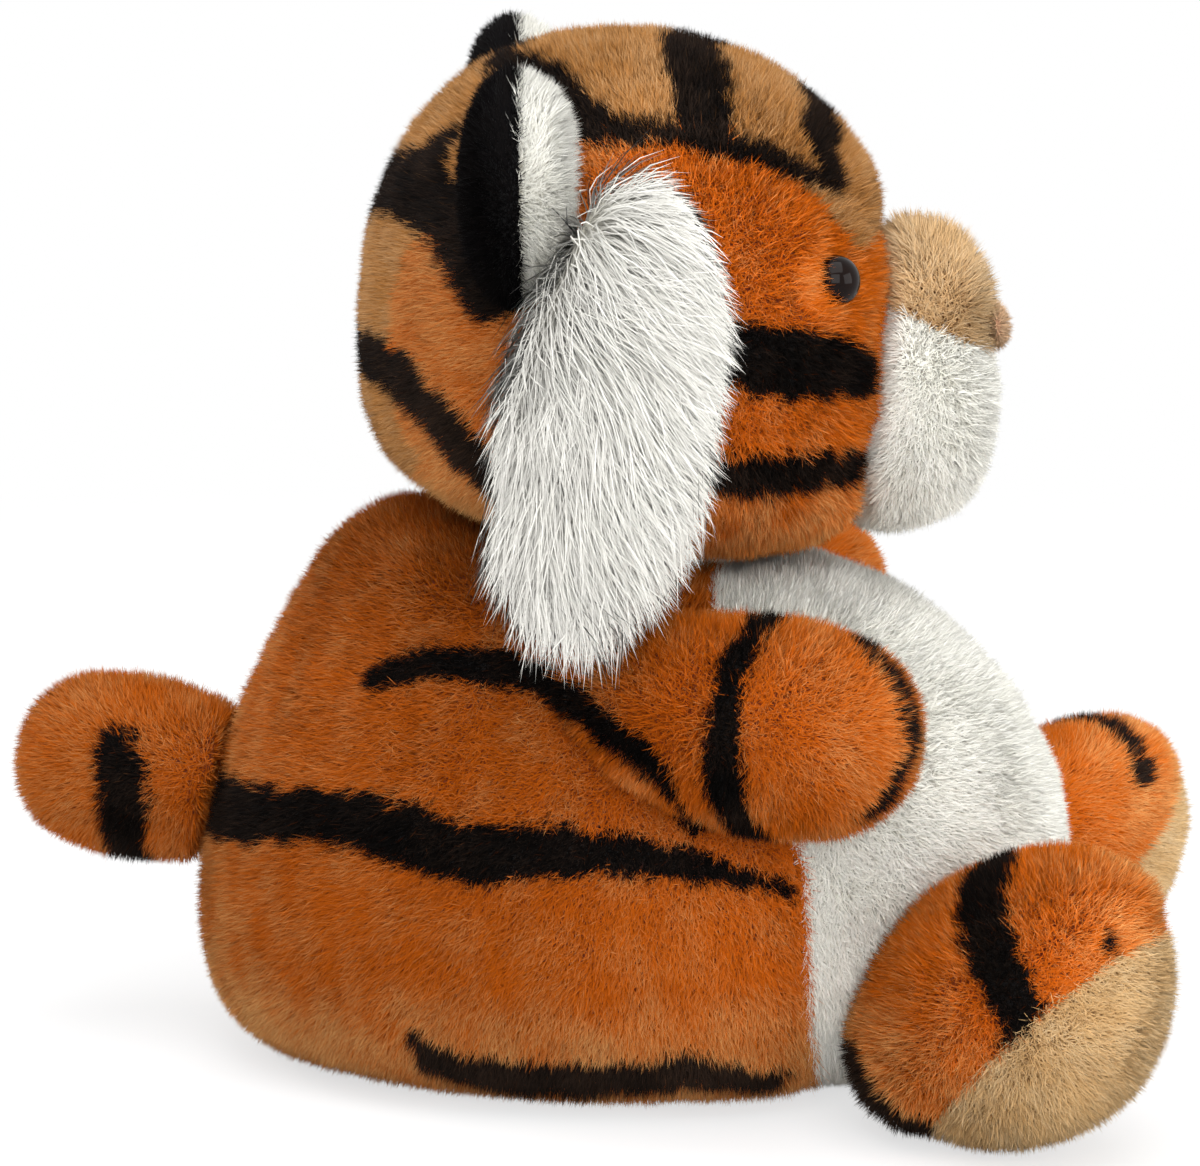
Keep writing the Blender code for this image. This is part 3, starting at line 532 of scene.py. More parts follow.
def backing(name, colour, thread=0.5):
    """The knitted backing that shows only between the hairs: dimmer than them, with its loops as fine bumps, and
    black where a stripe is printed. Thread is the loops' spacing in mm."""
    material, tree = fresh_material(name)
    place = add(tree, "TexCoord").outputs["Object"]
    loops = add(tree, "TexVoronoi", {"Scale": 1000 / thread}, {"Vector": place}).outputs["Distance"]
    dim = (*(0.45 * c for c in linear(colour)[:3]), 1)
    shade = add(tree, "Mix", {"data_type": "RGBA", 6: linear(colour), 7: dim}, {0: loops}).outputs[2]
    dark = add(tree, "Attribute", {"attribute_name": "dark"}).outputs["Fac"]
    shade = add(tree, "Mix", {"data_type": "RGBA", 7: linear("#080607")}, {0: dark, 6: shade}).outputs[2]
    bump = add(tree, "Bump", {"Strength": 0.4, "Distance": 0.2 * MM}, {"Height": loops})
    shader = add(tree, "BsdfPrincipled", {"Roughness": 0.9}, {"Base Color": shade, "Normal": bump})
    add(tree, "OutputMaterial", {}, {"Surface": shader})
    return material


def print_backing(skin, lines, mirrored):
    """The stripes are printed through to the backing, so they stay black where the pile parts."""
    set_values(skin.data, "dark", darkness(mirrored(points_of(skin.data)), lines))


def finish(piece, body, material, seam=None):
    """Gives a piece its material and puts it on its body. A list of materials has one for each cover. With a seam, as
    two points in mm, the piece is not put on its body: its transform is made part of its mesh instead."""
    piece.data.materials.clear()
    if isinstance(material, (list, tuple)):
        if piece.name not in known_covers:
            known_covers[piece.name] = nearest_cover(piece)
        for one in material:
            piece.data.materials.append(one)
        piece.data.polygons.foreach_set("material_index", known_covers[piece.name][4].astype(np.int32))
    else:
        piece.data.materials.append(material)
    if seam:
        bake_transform(piece)
    else:
        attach(piece, body)
    return piece


# Rust woven plush: a warm, saturated coat with sandy tips where it is rubbed open. Its stripes are dyed black.
RUST = plush("rust woven plush", "#963f0b", "#c86010", "#dca566")
# White woven plush: a warm white, with only a little painted shade at the roots, so it stays soft and clean.
WHITE = plush("white woven plush", "#e2decf", "#f3f1e6", "#fbfaf4")
# Rust knitted backing: a dull ground that closes the gaps between the hairs.
RUST_BACKING = backing("rust knitted backing", "#8a3a0c")
# White knitted backing: a pale grey-cream ground, for the white pile's faint texture.
WHITE_BACKING = backing("white knitted backing", "#d4d0c2")
finish(body_skin, "body", (RUST_BACKING, RUST_BACKING, WHITE_BACKING, RUST_BACKING))

BODY_STRIPES = (
    (
        (-25.1, 27.5, 50.6, 1.2), (-25.9, 23.9, 52.6, 1.9), (-27.3, 18.9, 53.7, 2.2), (-29.5, 11.4, 53.6, 2.4),
        (-31.5, 4, 51.8, 2.6), (-32.8, -3, 48.4, 2.6), (-34.6, -8, 43.5, 2.5), (-36.5, -13, 37.5, 2.2),
    ),
    (
        (0, 53, 31.6, 4), (-11.5, 49, 31.8, 4), (-17.2, 45.3, 32.2, 4), (-28.4, 32.1, 34.6, 3.5),
        (-33.7, 22.8, 34, 3.8), (-36.9, 14, 32.2, 3.9), (-37.9, 3.2, 33.2, 3.2), (-38, -6.3, 33, 2.5),
        (-37.7, -13.3, 31.8, 1.9), (-36.5, -20.3, 30, 1.5), (-35.6, -23.7, 28.3, 0.7),
    ),
    (
        (-34.6, 20.9, 8.7, 1.6), (-33.9, 18.3, 5.4, 3.6), (-34.3, 12, 3.6, 4.5), (-34.5, 5.6, 3, 4.7),
        (-34.9, -0.8, 3.2, 4.4), (-35.2, -7.1, 4.2, 3.8), (-35.5, -11.5, 5.4, 3.5), (-32.5, -16.2, 4.2, 3.6),
        (-29.4, -20.9, 3.2, 3),
    ),
)


def on_right(points):
    """The pattern is cut alike for both sides, so a point on the left side reads it from the right."""
    spots = points.copy()
    left = points[:, 0] > 0
    spots[left, 1] += np.sin(points[left, 2] / (9 * MM)) * 1.5 * MM
    spots[:, 0] = -np.abs(points[:, 0])
    return spots


def back_frost_and_rim_light(points):
    """The tips are palest low down and at the nape, where the pile is rubbed open. Towards the rear they are paler
    still, a painted rim light along the back's outline.
    """
    low = np.clip((17 * MM - points[:, 2]) / (9 * MM), 0, 1)
    high = np.clip((points[:, 2] - 58 * MM) / (12 * MM), 0, 1)
    # Painted rim light towards the rear edge.
    rear = np.clip((points[:, 1] - 34 * MM) / (16 * MM), 0, 1)
    return 0.10 + 0.60 * low + 0.08 * high + 0.30 * rear


def even(value):
    """The same value for every hair of a piece."""
    return lambda points: np.full(len(points), value)


def back_painted_shading(points):
    """Painted light and shade: the coat is painted brighter towards the belly and darker high up, over the shoulders
    and the nape, under the head.
    """
    front = np.clip((8 * MM - points[:, 1]) / (25 * MM), 0, 1)
    high = np.clip((points[:, 2] - 50 * MM) / (14 * MM), 0, 1)
    return 0.78 + 0.24 * front - 0.26 * high


SIDES = {"right": -1, "left": 1}  # and the way along X that each one lies
print_backing(body_skin, BODY_STRIPES, on_right)
for side in SIDES:
    coat = pile(
        f"back_panel_{side}_pile", body_skin, f"back_panel_{side}", seed=11 if side == "right" else 12,
        source=(0, -0.02, 0.10), lines=BODY_STRIPES, mirrored=on_right, frost=back_frost_and_rim_light, shade=back_painted_shading,
    )
    finish(coat, "body", RUST)
belly = pile("belly_panel_pile", body_skin, "belly_panel", seed=13, length=2.4, source=(0, -0.03, 0.09))
finish(belly, "body", WHITE)
seat = pile("seat_panel_pile", body_skin, "seat_panel", seed=14, density=4, length=1.6, source=(0, 0, 0.05))
if len(seat.data.polygons):
    finish(seat, "body", RUST)
else:
    bpy.data.objects.remove(seat)


# Head: two side panels of the same striped plush with a tan, banded strip over the crown. It is turned a little to
# its left on the neck. The stripes are given for a head that looks straight ahead.

NECK = np.array([0, 1.0, 66.01]) * MM
NECK_AXIS = Vector((0, -math.sin(math.radians(10)), math.cos(math.radians(10))))
TURN = np.array(Matrix.Rotation(math.radians(8), 3, NECK_AXIS))

head_skin = stuffed(
    "head_cloth", ("head_side_right", "head_side_left", "crown_gusset"), ("head_stuffing",), 2.4 * MM,
    [(Vector((0, 0.001, 0.0745)), NECK_HOLE)],
)


def straight(points):
    """Points of the turned head, as they lie when it looks straight ahead, read from its right side."""
    return on_right((points - NECK) @ TURN + NECK)


def turned(point):
    """A point of a head that looks straight ahead, as it lies on the turned head."""
    return tuple(TURN @ (np.array(point) - NECK) + NECK)


HEAD_STRIPES = (
    (
        (0, 29.5, 108, 4.2), (-8, 27.5, 109.5, 4.2), (-15, 24.5, 109.5, 4.4), (-22, 21, 106.5, 4.4),
        (-30, 16.3, 99.5, 4),
    ),
    ((-7, 28, 108.3, 3), (-13.2, 24, 112.1, 3.6), (-14.9, 20.8, 115.2, 2.4)),
    ((0, 15.5, 124, 2.6), (-5.4, 14.5, 123.6, 2.6), (-13.6, 9.7, 122.6, 2.6), (-24, 4.6, 118, 2.6)),
    ((0, -7.4, 126, 3.6), (-5, -7.7, 125.1, 3.8), (-17.7, -8.5, 121.4, 4.2), (-22.6, -9.5, 117.6, 3.6)),
    ((0, -22.6, 118.5, 3.2), (-6, -23.5, 116.8, 3.2), (-12.6, -23, 115, 3.2), (-15.6, -24.6, 111.2, 2.4)),
    (
        (-24.2, 5.5, 117.7, 2.1), (-24.8, -1.3, 117.7, 2.1), (-23.8, -8.3, 117.1, 2.3), (-20.2, -20.2, 112.8, 2),
        (-16.2, -24.9, 110.3, 1.4),
    ),
    (
        (0, 32, 88.5, 3.2), (-12, 30, 88, 3.2), (-18.6, 27.1, 86.9, 3.6), (-25, 22.3, 83.3, 3.8),
        (-27.3, 17.6, 78.3, 3.6), (-27.1, 12, 73, 3),
    ),
    (
        (-37, -5, 94, 4), (-35.4, -9.4, 93.2, 4.1), (-32.8, -15, 91.4, 4.2), (-27.3, -22.3, 89.9, 4.2),
        (-18.9, -28.5, 87.5, 3.4),
    ),
    (
        (-35, -5, 78.6, 2.4), (-33.3, -9, 78.1, 2.6), (-30.3, -15.2, 77.2, 2.8), (-24.8, -22.6, 77, 2.9),
        (-14.4, -28.9, 75.8, 2.4),
    ),
    ((-19, -10.5, 62, 1), (-22, -9, 61.4, 1.4)),
)
NOSE_TIP = turned((0, -0.046, 0.092))
EYE_SIDEWAYS = math.radians(45)
EYE_UP = math.radians(5)


def eye_seat(side):
    """The middle of an eye's dome, where it stands on the face, and the way that it looks."""
    level = math.cos(EYE_UP)
    sideways = SIDES[side] * (level * math.sin(EYE_SIDEWAYS))
    look = TURN @ np.array([sideways, -(level * math.cos(EYE_SIDEWAYS)), math.sin(EYE_UP)])
    points = points_of(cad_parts[f"eye_{side}"].data)
    middle = points.mean(0)
    height = (points - middle) @ look
    radius = np.linalg.norm(points - middle - height[:, None] * look, axis=1)
    return middle + height[radius > 0.98 * radius.max()].min() * look, look


def over_eye(points):
    """The pile hangs down a little, and just behind an eye it leans over the dome's rear edge."""
    ways = np.tile((0, 0, -0.35), (len(points), 1))
    for side in SIDES:
        seat, look = eye_seat(side)
        to_seat = seat - points
        near = np.clip((7.5 - np.linalg.norm(to_seat, axis=1) / MM) / 3, 0, 1) * (to_seat[:, 1] < 0.4 * MM)
        ways += unit(to_seat) * (3 * near)[:, None]
    return ways


def beside_eye(points):
    """No hair grows under the middle of the domes. Behind them it is a little longer."""
    left = np.ones(len(points))
    for side in SIDES:
        seat, look = eye_seat(side)
        away = points - seat
        gap = np.linalg.norm(away - (away @ look)[:, None] * look, axis=1) / MM
        near = np.linalg.norm(away, axis=1) < 7 * MM
        behind = np.clip((away @ (0, 0.85, -0.5)) / (1.5 * MM) + 0.3, 0, 1)[near]
        edge = 2.2 - 0.5 * behind
        fade = np.clip((gap[near] - edge) / 4, 0, 1)
        left[near] = np.where(gap[near] < edge, 0, (0.8 + 0.6 * behind) * (1 - fade) + fade)
    return left


def head_frost(points):
    """The tips are palest over the crown, down the back and low on the cheeks."""
    spots = straight(points)
    rear = np.clip((spots[:, 1] - 4 * MM) / (20 * MM), 0, 1)
    low = np.clip((82 * MM - spots[:, 2]) / (12 * MM), 0, 1)
    return 0.06 + 0.42 * rear + 0.50 * low


def head_painted_shading(points):
    """Painted light and shade: the coat is painted brighter on the face than at the back of the head."""
    return 1.08 - 0.18 * np.clip((straight(points)[:, 1] - 4 * MM) / (16 * MM), 0, 1)


# Tan woven plush: the duller, browner strip over the crown, with pale tips, partly a painted highlight of the lamp
# overhead.
TAN = plush("tan woven plush", "#7a4a22", "#b0763b", "#d3a878")
# Tan knitted backing: a brown ground under the crown and the bridge.
TAN_BACKING = backing("tan knitted backing", "#8a5c30")
finish(head_skin, "head", (RUST_BACKING, RUST_BACKING, TAN_BACKING))
print_backing(head_skin, HEAD_STRIPES, straight)
for side in SIDES:
    coat = pile(
        f"head_side_{side}_pile", head_skin, f"head_side_{side}", seed=21 if side == "right" else 22, source=NOSE_TIP,
        pull=over_eye, lines=HEAD_STRIPES, mirrored=straight, frost=head_frost, shade=head_painted_shading, bare=beside_eye,
    )
    finish(coat, "head", RUST)


def over_line(points):
    """The tan cloth ends at the black line over the ears. Below it the pile is rust again."""
    spots = straight(points) / MM
    return np.where((spots[:, 2] < 117) & (spots[:, 1] > -12) & (spots[:, 1] < 9), 0.0, 1.0)


crown = pile(
    "crown_gusset_pile", head_skin, "crown_gusset", seed=23, source=NOSE_TIP, lines=HEAD_STRIPES, mirrored=straight,
    shade=even(0.90), bare=over_line,
)
finish(crown, "head", TAN)
temples = pile(
    "crown_edge_pile", head_skin, "crown_gusset", seed=24, source=NOSE_TIP, lines=HEAD_STRIPES, mirrored=straight,
    bare=lambda points: 1 - over_line(points),
)
finish(temples, "head", RUST)


# Muzzle: a white cover with a tan bridge on top, stuffed firmly and sewn to the face.

MUZZLE_COVERS = ("muzzle_cover", "nose_bridge")
muzzle_skin = stuffed("muzzle_cloth", MUZZLE_COVERS, ("muzzle_stuffing",), 1.8 * MM, swell=0.7)
finish(muzzle_skin, "head", (WHITE_BACKING, TAN_BACKING))
# Painted light: the chin's white pile is painted 6% brighter than the belly's.
chin = pile(
    "muzzle_cover_pile", muzzle_skin, "muzzle_cover", seed=31, length=2.2, lean=25, source=NOSE_TIP, shade=even(1.06),
)
finish(chin, "head", WHITE)
# Pale tan woven plush: a sandy bridge, longer and paler than the crown, over the white chin.
BRIDGE = plush("pale tan woven plush", "#b58a5a", "#d3ab79", "#e6cda9")
bridge = pile(
    "nose_bridge_pile", muzzle_skin, "nose_bridge", seed=32, length=3.0, lean=30, source=NOSE_TIP, shade=even(0.95),
)
finish(bridge, "head", BRIDGE)


# Nose: a small pad of short-napped pinkish cloth, sewn where the bridge meets the muzzle and almost lost in the pile.

# Pink napped cloth: close nap, only a little redder than the bridge, so the nose is seen by its form.
PINK = plush("pink napped cloth", "#cda07c", "#ddb48e", "#e8c9a8")
# Pink knitted backing: the dusky ground of the nap.
PINK_BACKING = backing("pink knitted backing", "#b58164", thread=0.3)
nose_pad = stuffed("nose_pad", ("nose",), (), 0.5 * MM, depth=0.2, swell=0.2)
finish(nose_pad, "head", (PINK_BACKING,))
nap = pile("nose_pile", nose_pad, "nose", seed=36, density=40, length=1.5, width=0.14, lean=30, source=NOSE_TIP)
finish(nap, "head", PINK)


# Eyes: glossy dark plastic domes, each on a shank through the face.

# Dark glossy plastic: near black, with brown clouds of 2.5 mm in its depth and small, sharp reflections.
eye_plastic, tree = fresh_material("dark glossy plastic")
place = add(tree, "TexCoord").outputs["Object"]
clouds = add(tree, "TexNoise", {"Scale": 1000 / 2.5, "Detail": 2.0}, {"Vector": place}).outputs["Fac"]
tint = add(tree, "Mix", {"data_type": "RGBA", 6: linear("#060404"), 7: linear("#160a06")}, {0: clouds}).outputs[2]
gloss = {"Roughness": 0.06, "IOR": 1.4, "Specular IOR Level": 0.16}
shader = add(tree, "BsdfPrincipled", gloss, {"Base Color": tint})
add(tree, "OutputMaterial", {}, {"Surface": shader})
ARC_STEPS = 12
for side in SIDES:
    seat, look = eye_seat(side)
    away = points_of(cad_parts[f"eye_{side}"].data) - seat
    height = away @ look
    radius = np.linalg.norm(away - height[:, None] * look, axis=1)
    stem = radius[height < -0.4 * MM].max()
    rise = height.max()
    profile = [(0, height.min()), (stem, height.min()), (stem, 0), (radius.max(), 0)]
    for k in range(1, ARC_STEPS + 1):
        turn = k * math.pi / (2 * ARC_STEPS)
        profile.append((radius.max() * math.cos(turn), rise * math.sin(turn)))
    bm = bmesh.new()
    line = [bm.verts.new((x, 0, z)) for x, z in profile]
    edges = [bm.edges.new(pair) for pair in zip(line, line[1:])]
    bmesh.ops.spin(bm, geom=line + edges, axis=(0, 0, 1), cent=(0, 0, 0), angle=2 * math.pi, steps=40)
    bmesh.ops.remove_doubles(bm, verts=bm.verts[:], dist=0.01 * MM)
    bmesh.ops.recalc_face_normals(bm, faces=bm.faces[:])
    bm.transform(Matrix.Translation(Vector(seat)) @ Vector(look).to_track_quat("Z", "Y").to_matrix().to_4x4())
    mesh = bpy.data.meshes.new(f"eye_{side}_dome")
    bm.to_mesh(mesh)
    bm.free()
    mesh.shade_smooth()
    dome = linked(f"eye_{side}_dome", mesh)
    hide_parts(f"eye_{side}")
    finish(dome, "head", eye_plastic)


# Ears: black plush behind and white short plush in front, sewn round the edge and cupped.


def ear_nap(points):
    """How long the nap of an ear's lining is: longest at the top, where it sticks out past the edge."""
    return 0.55 + 0.45 * np.clip((points[:, 2] - 98 * MM) / (14 * MM), 0, 1)


# Black woven plush: a deep black with its tips a little lifted, so the ear's back reads as one dark form.
BLACK = plush("black woven plush", "#030303", "#070607", "#15110f")
# Black knitted backing: a black ground, so no light shows between the hairs.
BLACK_BACKING = backing("black knitted backing", "#080708")
for side in SIDES:
    covers = (f"ear_back_{side}", f"ear_lining_{side}")
    ear = stuffed(f"ear_{side}_cloth", covers, (), 0.9 * MM, depth=0.3, swell=0.4)
    finish(ear, f"ear_{side}", (BLACK_BACKING, WHITE_BACKING))
    out = (0.02 if side == "left" else -0.03, 0.01, 0.10)
    back = pile(f"ear_back_{side}_pile", ear, f"ear_back_{side}", seed=41, length=2.0, lean=35, source=out)
    finish(back, f"ear_{side}", BLACK)
    # Painted shade: the lining's white pile is painted 16% darker, as the cupped ear shades it.
    lining = pile(
        f"ear_lining_{side}_pile", ear, f"ear_lining_{side}", seed=42, length=2.8, lean=22, source=out,
        shade=even(0.84), bare=ear_nap,
    )
    finish(lining, f"ear_{side}", WHITE)


# Cheek tufts: long white pile, sewn in under each ear. It parts at the top, fans forwards and hangs down.

# The outline's front and rear edges, as heights and places along Y, in mm.
TUFT_FRONT = (
    (50, 3), (57, 1.5), (59.5, 0), (61.4, -3), (65.2, -5.8), (68.2, -6.5), (72.9, -8.2), (77.7, -9.7), (87.5, -10.5),
    (92.8, -12), (97.5, -12), (107.4, -9), (112, -6.5), (117.5, -4),
)
TUFT_REAR = (
    (50, 8), (57, 13), (58, 14.5), (62.9, 16.5), (64.2, 18.5), (69.1, 17.5), (75, 16), (78.7, 17), (84.9, 18.5),
    (92.4, 15.7), (95.2, 14.7), (101.3, 13), (103.7, 11.8), (113.2, 7.5), (117.5, 3),
)


def in_tuft(points):
    """Whether a hair's tip is inside the tuft's outline, seen from the side, with ends that are cut unevenly."""
    spots = straight(points) / MM
    locks = np.clip(0.5 + 2.4 * waves(points, 3.2 * MM, 5), -1.6, 5)
    short = locks + np.abs(np.random.default_rng(5).normal(0, 0.8, len(points)))
    front = np.interp(spots[:, 2], *zip(*TUFT_FRONT)) + short
    rear = np.interp(spots[:, 2], *zip(*TUFT_REAR)) - short
    level = (spots[:, 2] > 55.5 + 1.4 * short) & (spots[:, 2] < 117.5 - short)
    return (spots[:, 1] > front) & (spots[:, 1] < rear) & level


def fan(points):
    """The tuft hangs down and spreads towards its front and rear edges."""
    forward = np.clip((7 - straight(points)[:, 1] / MM) / 10, -0.6, 1)
    return np.stack([0 * forward, -0.45 * forward, 0 * forward - 0.25], axis=1)


# Long white plush: a little greyer than the short white pile, a painted shade among its strands, with pale ends,
# so that its locks read one by one.
LONG = plush("long white plush", "#c9c6bb", "#e2e0d8", "#efede7")
for side, sign in SIDES.items():
    tuft = stuffed(f"cheek_tuft_{side}_cloth", (f"cheek_tuft_{side}",), (), 1.2 * MM, depth=0.9, swell=0.4)
    finish(tuft, "head", (WHITE_BACKING,))
    # Painted shade: the tufts' pile is painted 8% darker still.
    locks = pile(
        f"cheek_tuft_{side}_pile", tuft, f"cheek_tuft_{side}", seed=51, density=11, length=13, width=0.22, lean=66,
        source=turned((sign * 0.031, 0.014, 0.107)), pull=fan, shade=even(0.92), steps=4, bend=20, within=in_tuft,
        clump=2.0, gather=0.55, fuzz=0.14, droop=0.10,
    )
    finish(locks, "head", LONG)


# Neck: a short stuffed ball of the same plush between the body and the head, white in front. It hardly shows.

neck = stuffed("neck_cloth", ("neck_stuffing",), (), 1.6 * MM, depth=0.3, swell=0.3)
finish(neck, "neck", (RUST_BACKING,))
# Painted shade: the neck's pile, rust and white, is painted 20% darker, under the head.
for name, material, slot, sign in (("rear", RUST, "rust_plush", 1), ("front", WHITE, "white_plush", -1)):
    coat = pile(
        f"neck_{name}_pile", neck, "neck_stuffing", seed=91, length=1.5, source=(0, 0.001, 0.09), shade=even(0.8),
        bare=lambda points: (sign * (points[:, 1] + 6 * MM) > 0).astype(float),
    )
    finish(coat, "neck", material)


# Arms: one striped cover each, stuffed and sewn on at the shoulder. The left one is swung 25 degrees outwards.

SHOULDER = np.array([37.84, 11.28, 49.98]) * MM
SWING = np.array(Matrix.Rotation(math.radians(25), 3, "Z"))
ARM_STRIPES = (
    (
        (-33, -22, 62.5, 2), (-41, -21, 61.3, 2.1), (-46.6, -18.2, 58.3, 2.2), (-49.7, -17, 51.8, 2.3),
        (-48.9, -17.3, 43.5, 2.5), (-42.9, -19.8, 36.9, 2.7), (-36, -21, 35.5, 2.7),
    ),
    (
        (-38, -33, 60.5, 1.5), (-41.8, -32.9, 59, 1.6), (-43.3, -36.6, 55.2, 1.9), (-44.9, -37.8, 50.5, 2),
        (-45.8, -37, 45.8, 1.9), (-45.8, -35.4, 42.4, 1.7), (-46, -33.2, 40.3, 1.4),
    ),
    (
        (-31.1, 6.4, 52, 2.4), (-35.1, 3.5, 50.9, 2.5), (-40.3, -1.5, 49.2, 2.6), (-43.5, -6.2, 46.9, 2.3),
        (-45, -9.4, 44.1, 1.9), (-44, -11.5, 41, 1.4), (-40.9, -13.3, 37.8, 1),
    ),
)


def arm_on_right(points):
    """Points of the left arm swung back in, and read from the right one."""
    spots = points.copy()
    left = points[:, 0] > 0
    spots[left] = (spots[left] - SHOULDER) @ SWING + SHOULDER
    return on_right(spots)


def arm_frost(points):
    """The tips are palest towards the paw."""
    return 0.08 + 0.5 * np.clip((-points[:, 1] - 22 * MM) / (30 * MM), 0, 1)


# Loose polyester fibre: dull white, matted strands about a millimetre wide, with a slight sheen.
fibre, tree = fresh_material("loose polyester fibre")
place = add(tree, "TexCoord").outputs["Object"]
matted = {"Scale": 1000 / 1.2, "Detail": 5.0, "Distortion": 2.5}
strands = add(tree, "TexNoise", matted, {"Vector": place}).outputs["Fac"]
tint = add(tree, "Mix", {"data_type": "RGBA", 6: linear("#c9c7c0"), 7: linear("#f4f3ee")}, {0: strands}).outputs[2]
bump = add(tree, "Bump", {"Strength": 0.6, "Distance": 0.4 * MM}, {"Height": strands})
shader = add(tree, "BsdfPrincipled", {"Roughness": 0.8, "Sheen Weight": 0.3}, {"Base Color": tint, "Normal": bump})
add(tree, "OutputMaterial", {}, {"Surface": shader})


def filling(node, body, seam):
    """The fibre of a limb sewn on at its seam: a copy of the CAD form in place of its stuffing, which is hidden."""
    name = node.replace("stuffing", "fibre")
    piece = linked(name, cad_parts[node].data.copy())
    piece.data.name = name
    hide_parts(node)
    finish(piece, body, fibre, seam)


for side, sign in SIDES.items():
    arm = stuffed(f"arm_{side}_cloth", (f"arm_cover_{side}",), (f"arm_stuffing_{side}",), 1.8 * MM, swell=0.8)
    shoulder = ((sign * 34.0, 15.0, 50.0), (sign * 38.0, 3.0, 50.0))
    finish(arm, f"arm_{side}", (RUST_BACKING,), shoulder)
    print_backing(arm, ARM_STRIPES, arm_on_right)
    filling(f"arm_stuffing_{side}", f"arm_{side}", shoulder)
    # Painted shade: the arm's rust pile is painted 8% darker than plain rust.
    coat = pile(
        f"arm_cover_{side}_pile", arm, f"arm_cover_{side}", seed=61, source=(sign * 0.030, 0.012, 0.052),
        lines=ARM_STRIPES, mirrored=arm_on_right, frost=arm_frost, shade=even(0.92),
    )
    finish(coat, f"arm_{side}", RUST, shoulder)


# Feet: a striped cover and a cream sole each. The seam runs round the sole.

HEEL_STRIPE = (
    (-28, -30, 6, 4.4), (-36.8, -31.9, 6, 4.8), (-37.5, -33.7, 4, 4.8), (-41, -36.7, 2.6, 4.4),
    (-43.8, -40, 2, 3),
)
INSTEP_RIGHT = (
    (-25, -47, 34.5, 3.6), (-34, -46.5, 33.5, 3.8), (-44.5, -46.5, 29.3, 3.7), (-50, -48, 25.5, 3.4),
    (-53.8, -51, 21.3, 3.2), (-54.9, -51.2, 17.5, 2.2), (-54.3, -49.4, 15.3, 1),
)
INSTEP_LEFT = (
    (-45, -47, 32.5, 2.4), (-42.7, -52, 34.3, 2.4), (-40, -57, 34.8, 2.4), (-36, -61.5, 33, 2.4),
    (-33.6, -63.6, 29.7, 2.2),
)
TOE_SPOT = ((-52.2, -61.8, 28, 0.9), (-52.8, -62.4, 27, 0.8))
FOOT_STRIPES = {"right": (INSTEP_RIGHT, HEEL_STRIPE, TOE_SPOT), "left": (INSTEP_LEFT, HEEL_STRIPE)}


def foot_frost(points):
    """The tips are palest towards the heel and round the toes."""
    heel = np.clip((22 * MM - points[:, 2]) / (12 * MM), 0, 1) * np.clip((points[:, 1] + 52 * MM) / (10 * MM), 0, 1)
    toes = np.clip((-56 * MM - points[:, 1]) / (8 * MM), 0, 1)
    return 0.14 + 0.5 * heel + 0.35 * toes


# Cream woven plush: a flat, sandy sole that sets off the rust cover round it.
CREAM = plush("cream woven plush", "#9a7447", "#d3aa74", "#e8cfa6")
# Cream knitted backing: the sole's browner ground.
CREAM_BACKING = backing("cream knitted backing", "#a98050")
for side, sign in SIDES.items():
    covers = (f"foot_cover_{side}", f"foot_sole_{side}")
    foot = stuffed(f"foot_{side}_cloth", covers, (f"foot_stuffing_{side}",), 1.9 * MM, swell=0.8)
    ankle = ((sign * 30.0, -32.0, 24.0), (sign * 34.0, -46.0, 16.0))
    finish(foot, f"foot_{side}", (RUST_BACKING, CREAM_BACKING), ankle)
    print_backing(foot, FOOT_STRIPES[side], on_right)
    filling(f"foot_stuffing_{side}", f"foot_{side}", ankle)
    hip = (sign * 0.020, -0.03, 0.02)
    # Painted light: the foot's rust pile is painted 12% brighter, lifting the shade on its front.
    coat = pile(
        f"foot_cover_{side}_pile", foot, covers[0], seed=71, source=hip, lines=FOOT_STRIPES[side], mirrored=on_right,
        frost=foot_frost, shade=even(1.12),
    )
    finish(coat, f"foot_{side}", RUST, ankle)
    sole = pile(f"foot_sole_{side}_pile", foot, covers[1], seed=72, length=2.5, source=hip)
    finish(sole, f"foot_{side}", CREAM, ankle)


# Tail: one short, round-ended tube of striped plush.

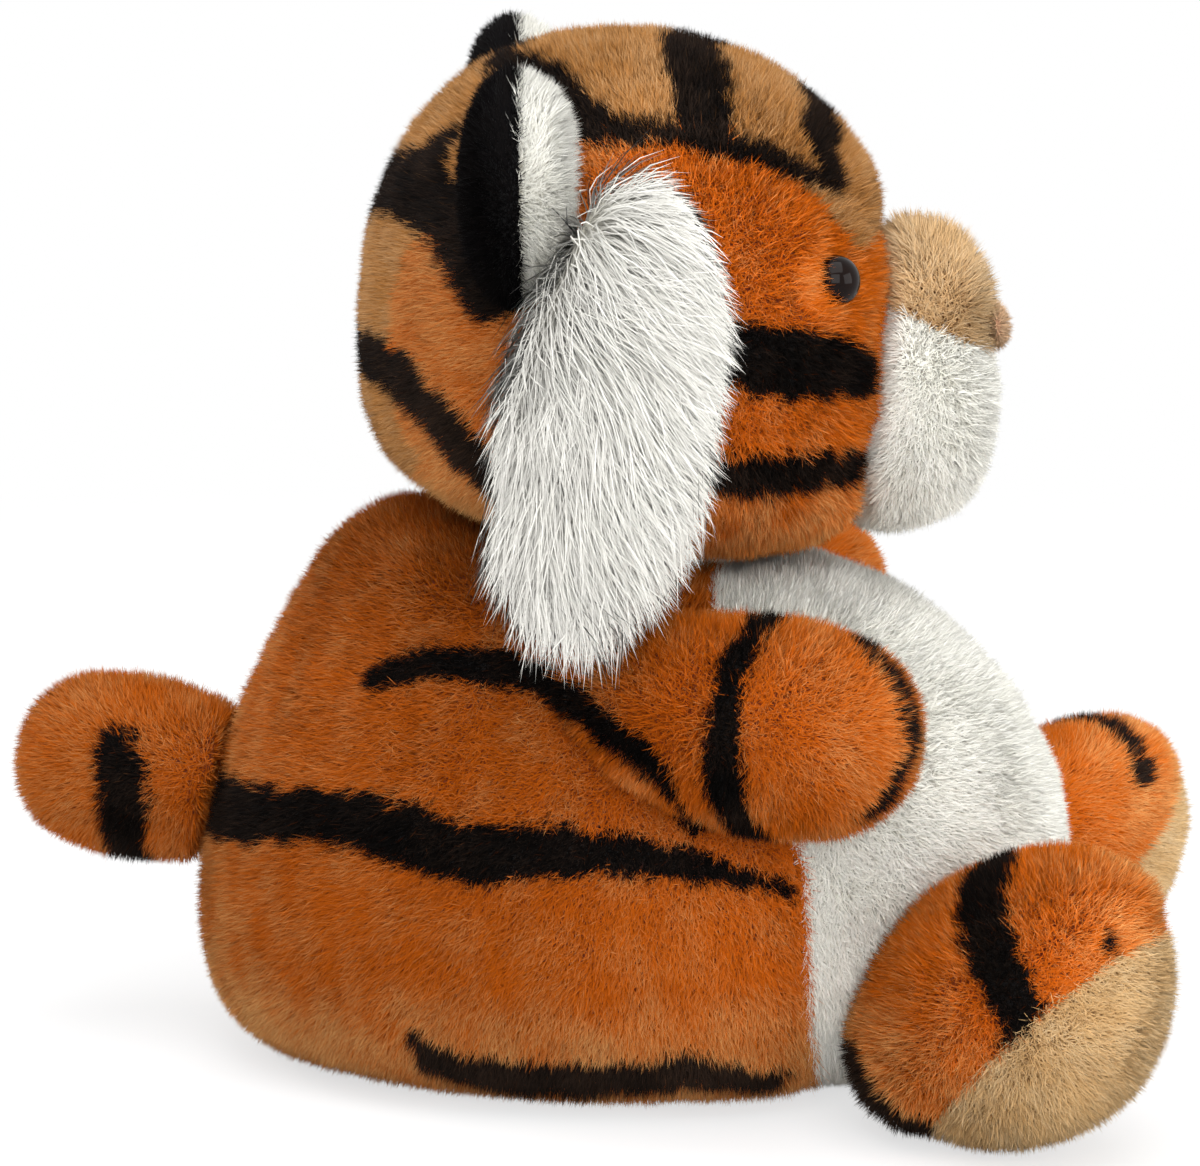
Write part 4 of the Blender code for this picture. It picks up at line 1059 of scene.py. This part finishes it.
TAIL_STRIPES = (
    ((-9, 62.5, 38.5, 2.8), (-10.6, 61.5, 36, 3.1), (-10.8, 61.3, 31, 3.2), (-8.1, 61.6, 26.3, 3), (0, 61.8, 22, 3)),
)
RUMP = ((0.0, 47.0, 36.0), (0.0, 58.0, 36.0))
tail = stuffed("tail_cloth", ("tail_cover",), ("tail_stuffing",), 1.7 * MM, swell=0.8)
finish(tail, "tail", (RUST_BACKING,), RUMP)
print_backing(tail, TAIL_STRIPES, on_right)
filling("tail_stuffing", "tail", RUMP)
# Painted shade: the tail's rust pile is painted 20% darker.
coat = pile(
    "tail_cover_pile", tail, "tail_cover", seed=81, source=(0, 0.03, 0.036), lines=TAIL_STRIPES, mirrored=on_right,
    frost=even(0.22), shade=even(0.80),
)
finish(coat, "tail", RUST, RUMP)


# Insides, which stay hidden: more of the fibre, a woven pouch of beans, and the eyes' moulded washers.

# Plain-weave pouch cotton: blue-grey and matt, with threads drawn 0.45 mm apart, coarser than real to show.
weave, tree = fresh_material("plain-weave pouch cotton")
place = add(tree, "TexCoord").outputs["Object"]
warp, weft = (
    add(tree, "TexWave", {"bands_direction": way, "Scale": 700.0, "Distortion": 0.4}, {"Vector": place}).outputs["Fac"]
    for way in ("X", "Y")
)
threads = add(tree, "Math", {"operation": "MAXIMUM"}, {0: warp, 1: weft})
tint = add(tree, "Mix", {"data_type": "RGBA", 6: linear("#777a80"), 7: linear("#b9bcc1")}, {0: threads}).outputs[2]
bump = add(tree, "Bump", {"Strength": 0.5, "Distance": 0.15 * MM}, {"Height": threads})
shader = add(tree, "BsdfPrincipled", {"Roughness": 0.85}, {"Base Color": tint, "Normal": bump})
add(tree, "OutputMaterial", {}, {"Surface": shader})

# White moulded plastic: creamy and satin, with a fine grain that varies its gloss.
moulded, tree = fresh_material("white moulded plastic")
place = add(tree, "TexCoord").outputs["Object"]
grain = add(tree, "TexNoise", {"Scale": 1000 / 0.4, "Detail": 2.0}, {"Vector": place}).outputs["Fac"]
tint = add(tree, "Mix", {"data_type": "RGBA", 6: linear("#d9d8d0"), 7: linear("#ecebe4")}, {0: grain}).outputs[2]
matt = add(tree, "MapRange", {"To Min": 0.4, "To Max": 0.6}, {"Value": grain})
shader = add(tree, "BsdfPrincipled", {}, {"Base Color": tint, "Roughness": matt})
add(tree, "OutputMaterial", {}, {"Surface": shader})

for name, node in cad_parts.items():
    kept = fibre if "stuffing" in name else weave if name == "bean_pouch" else moulded if "washer" in name else None
    if kept:
        for holder in node.material_slots:
            holder.material = kept
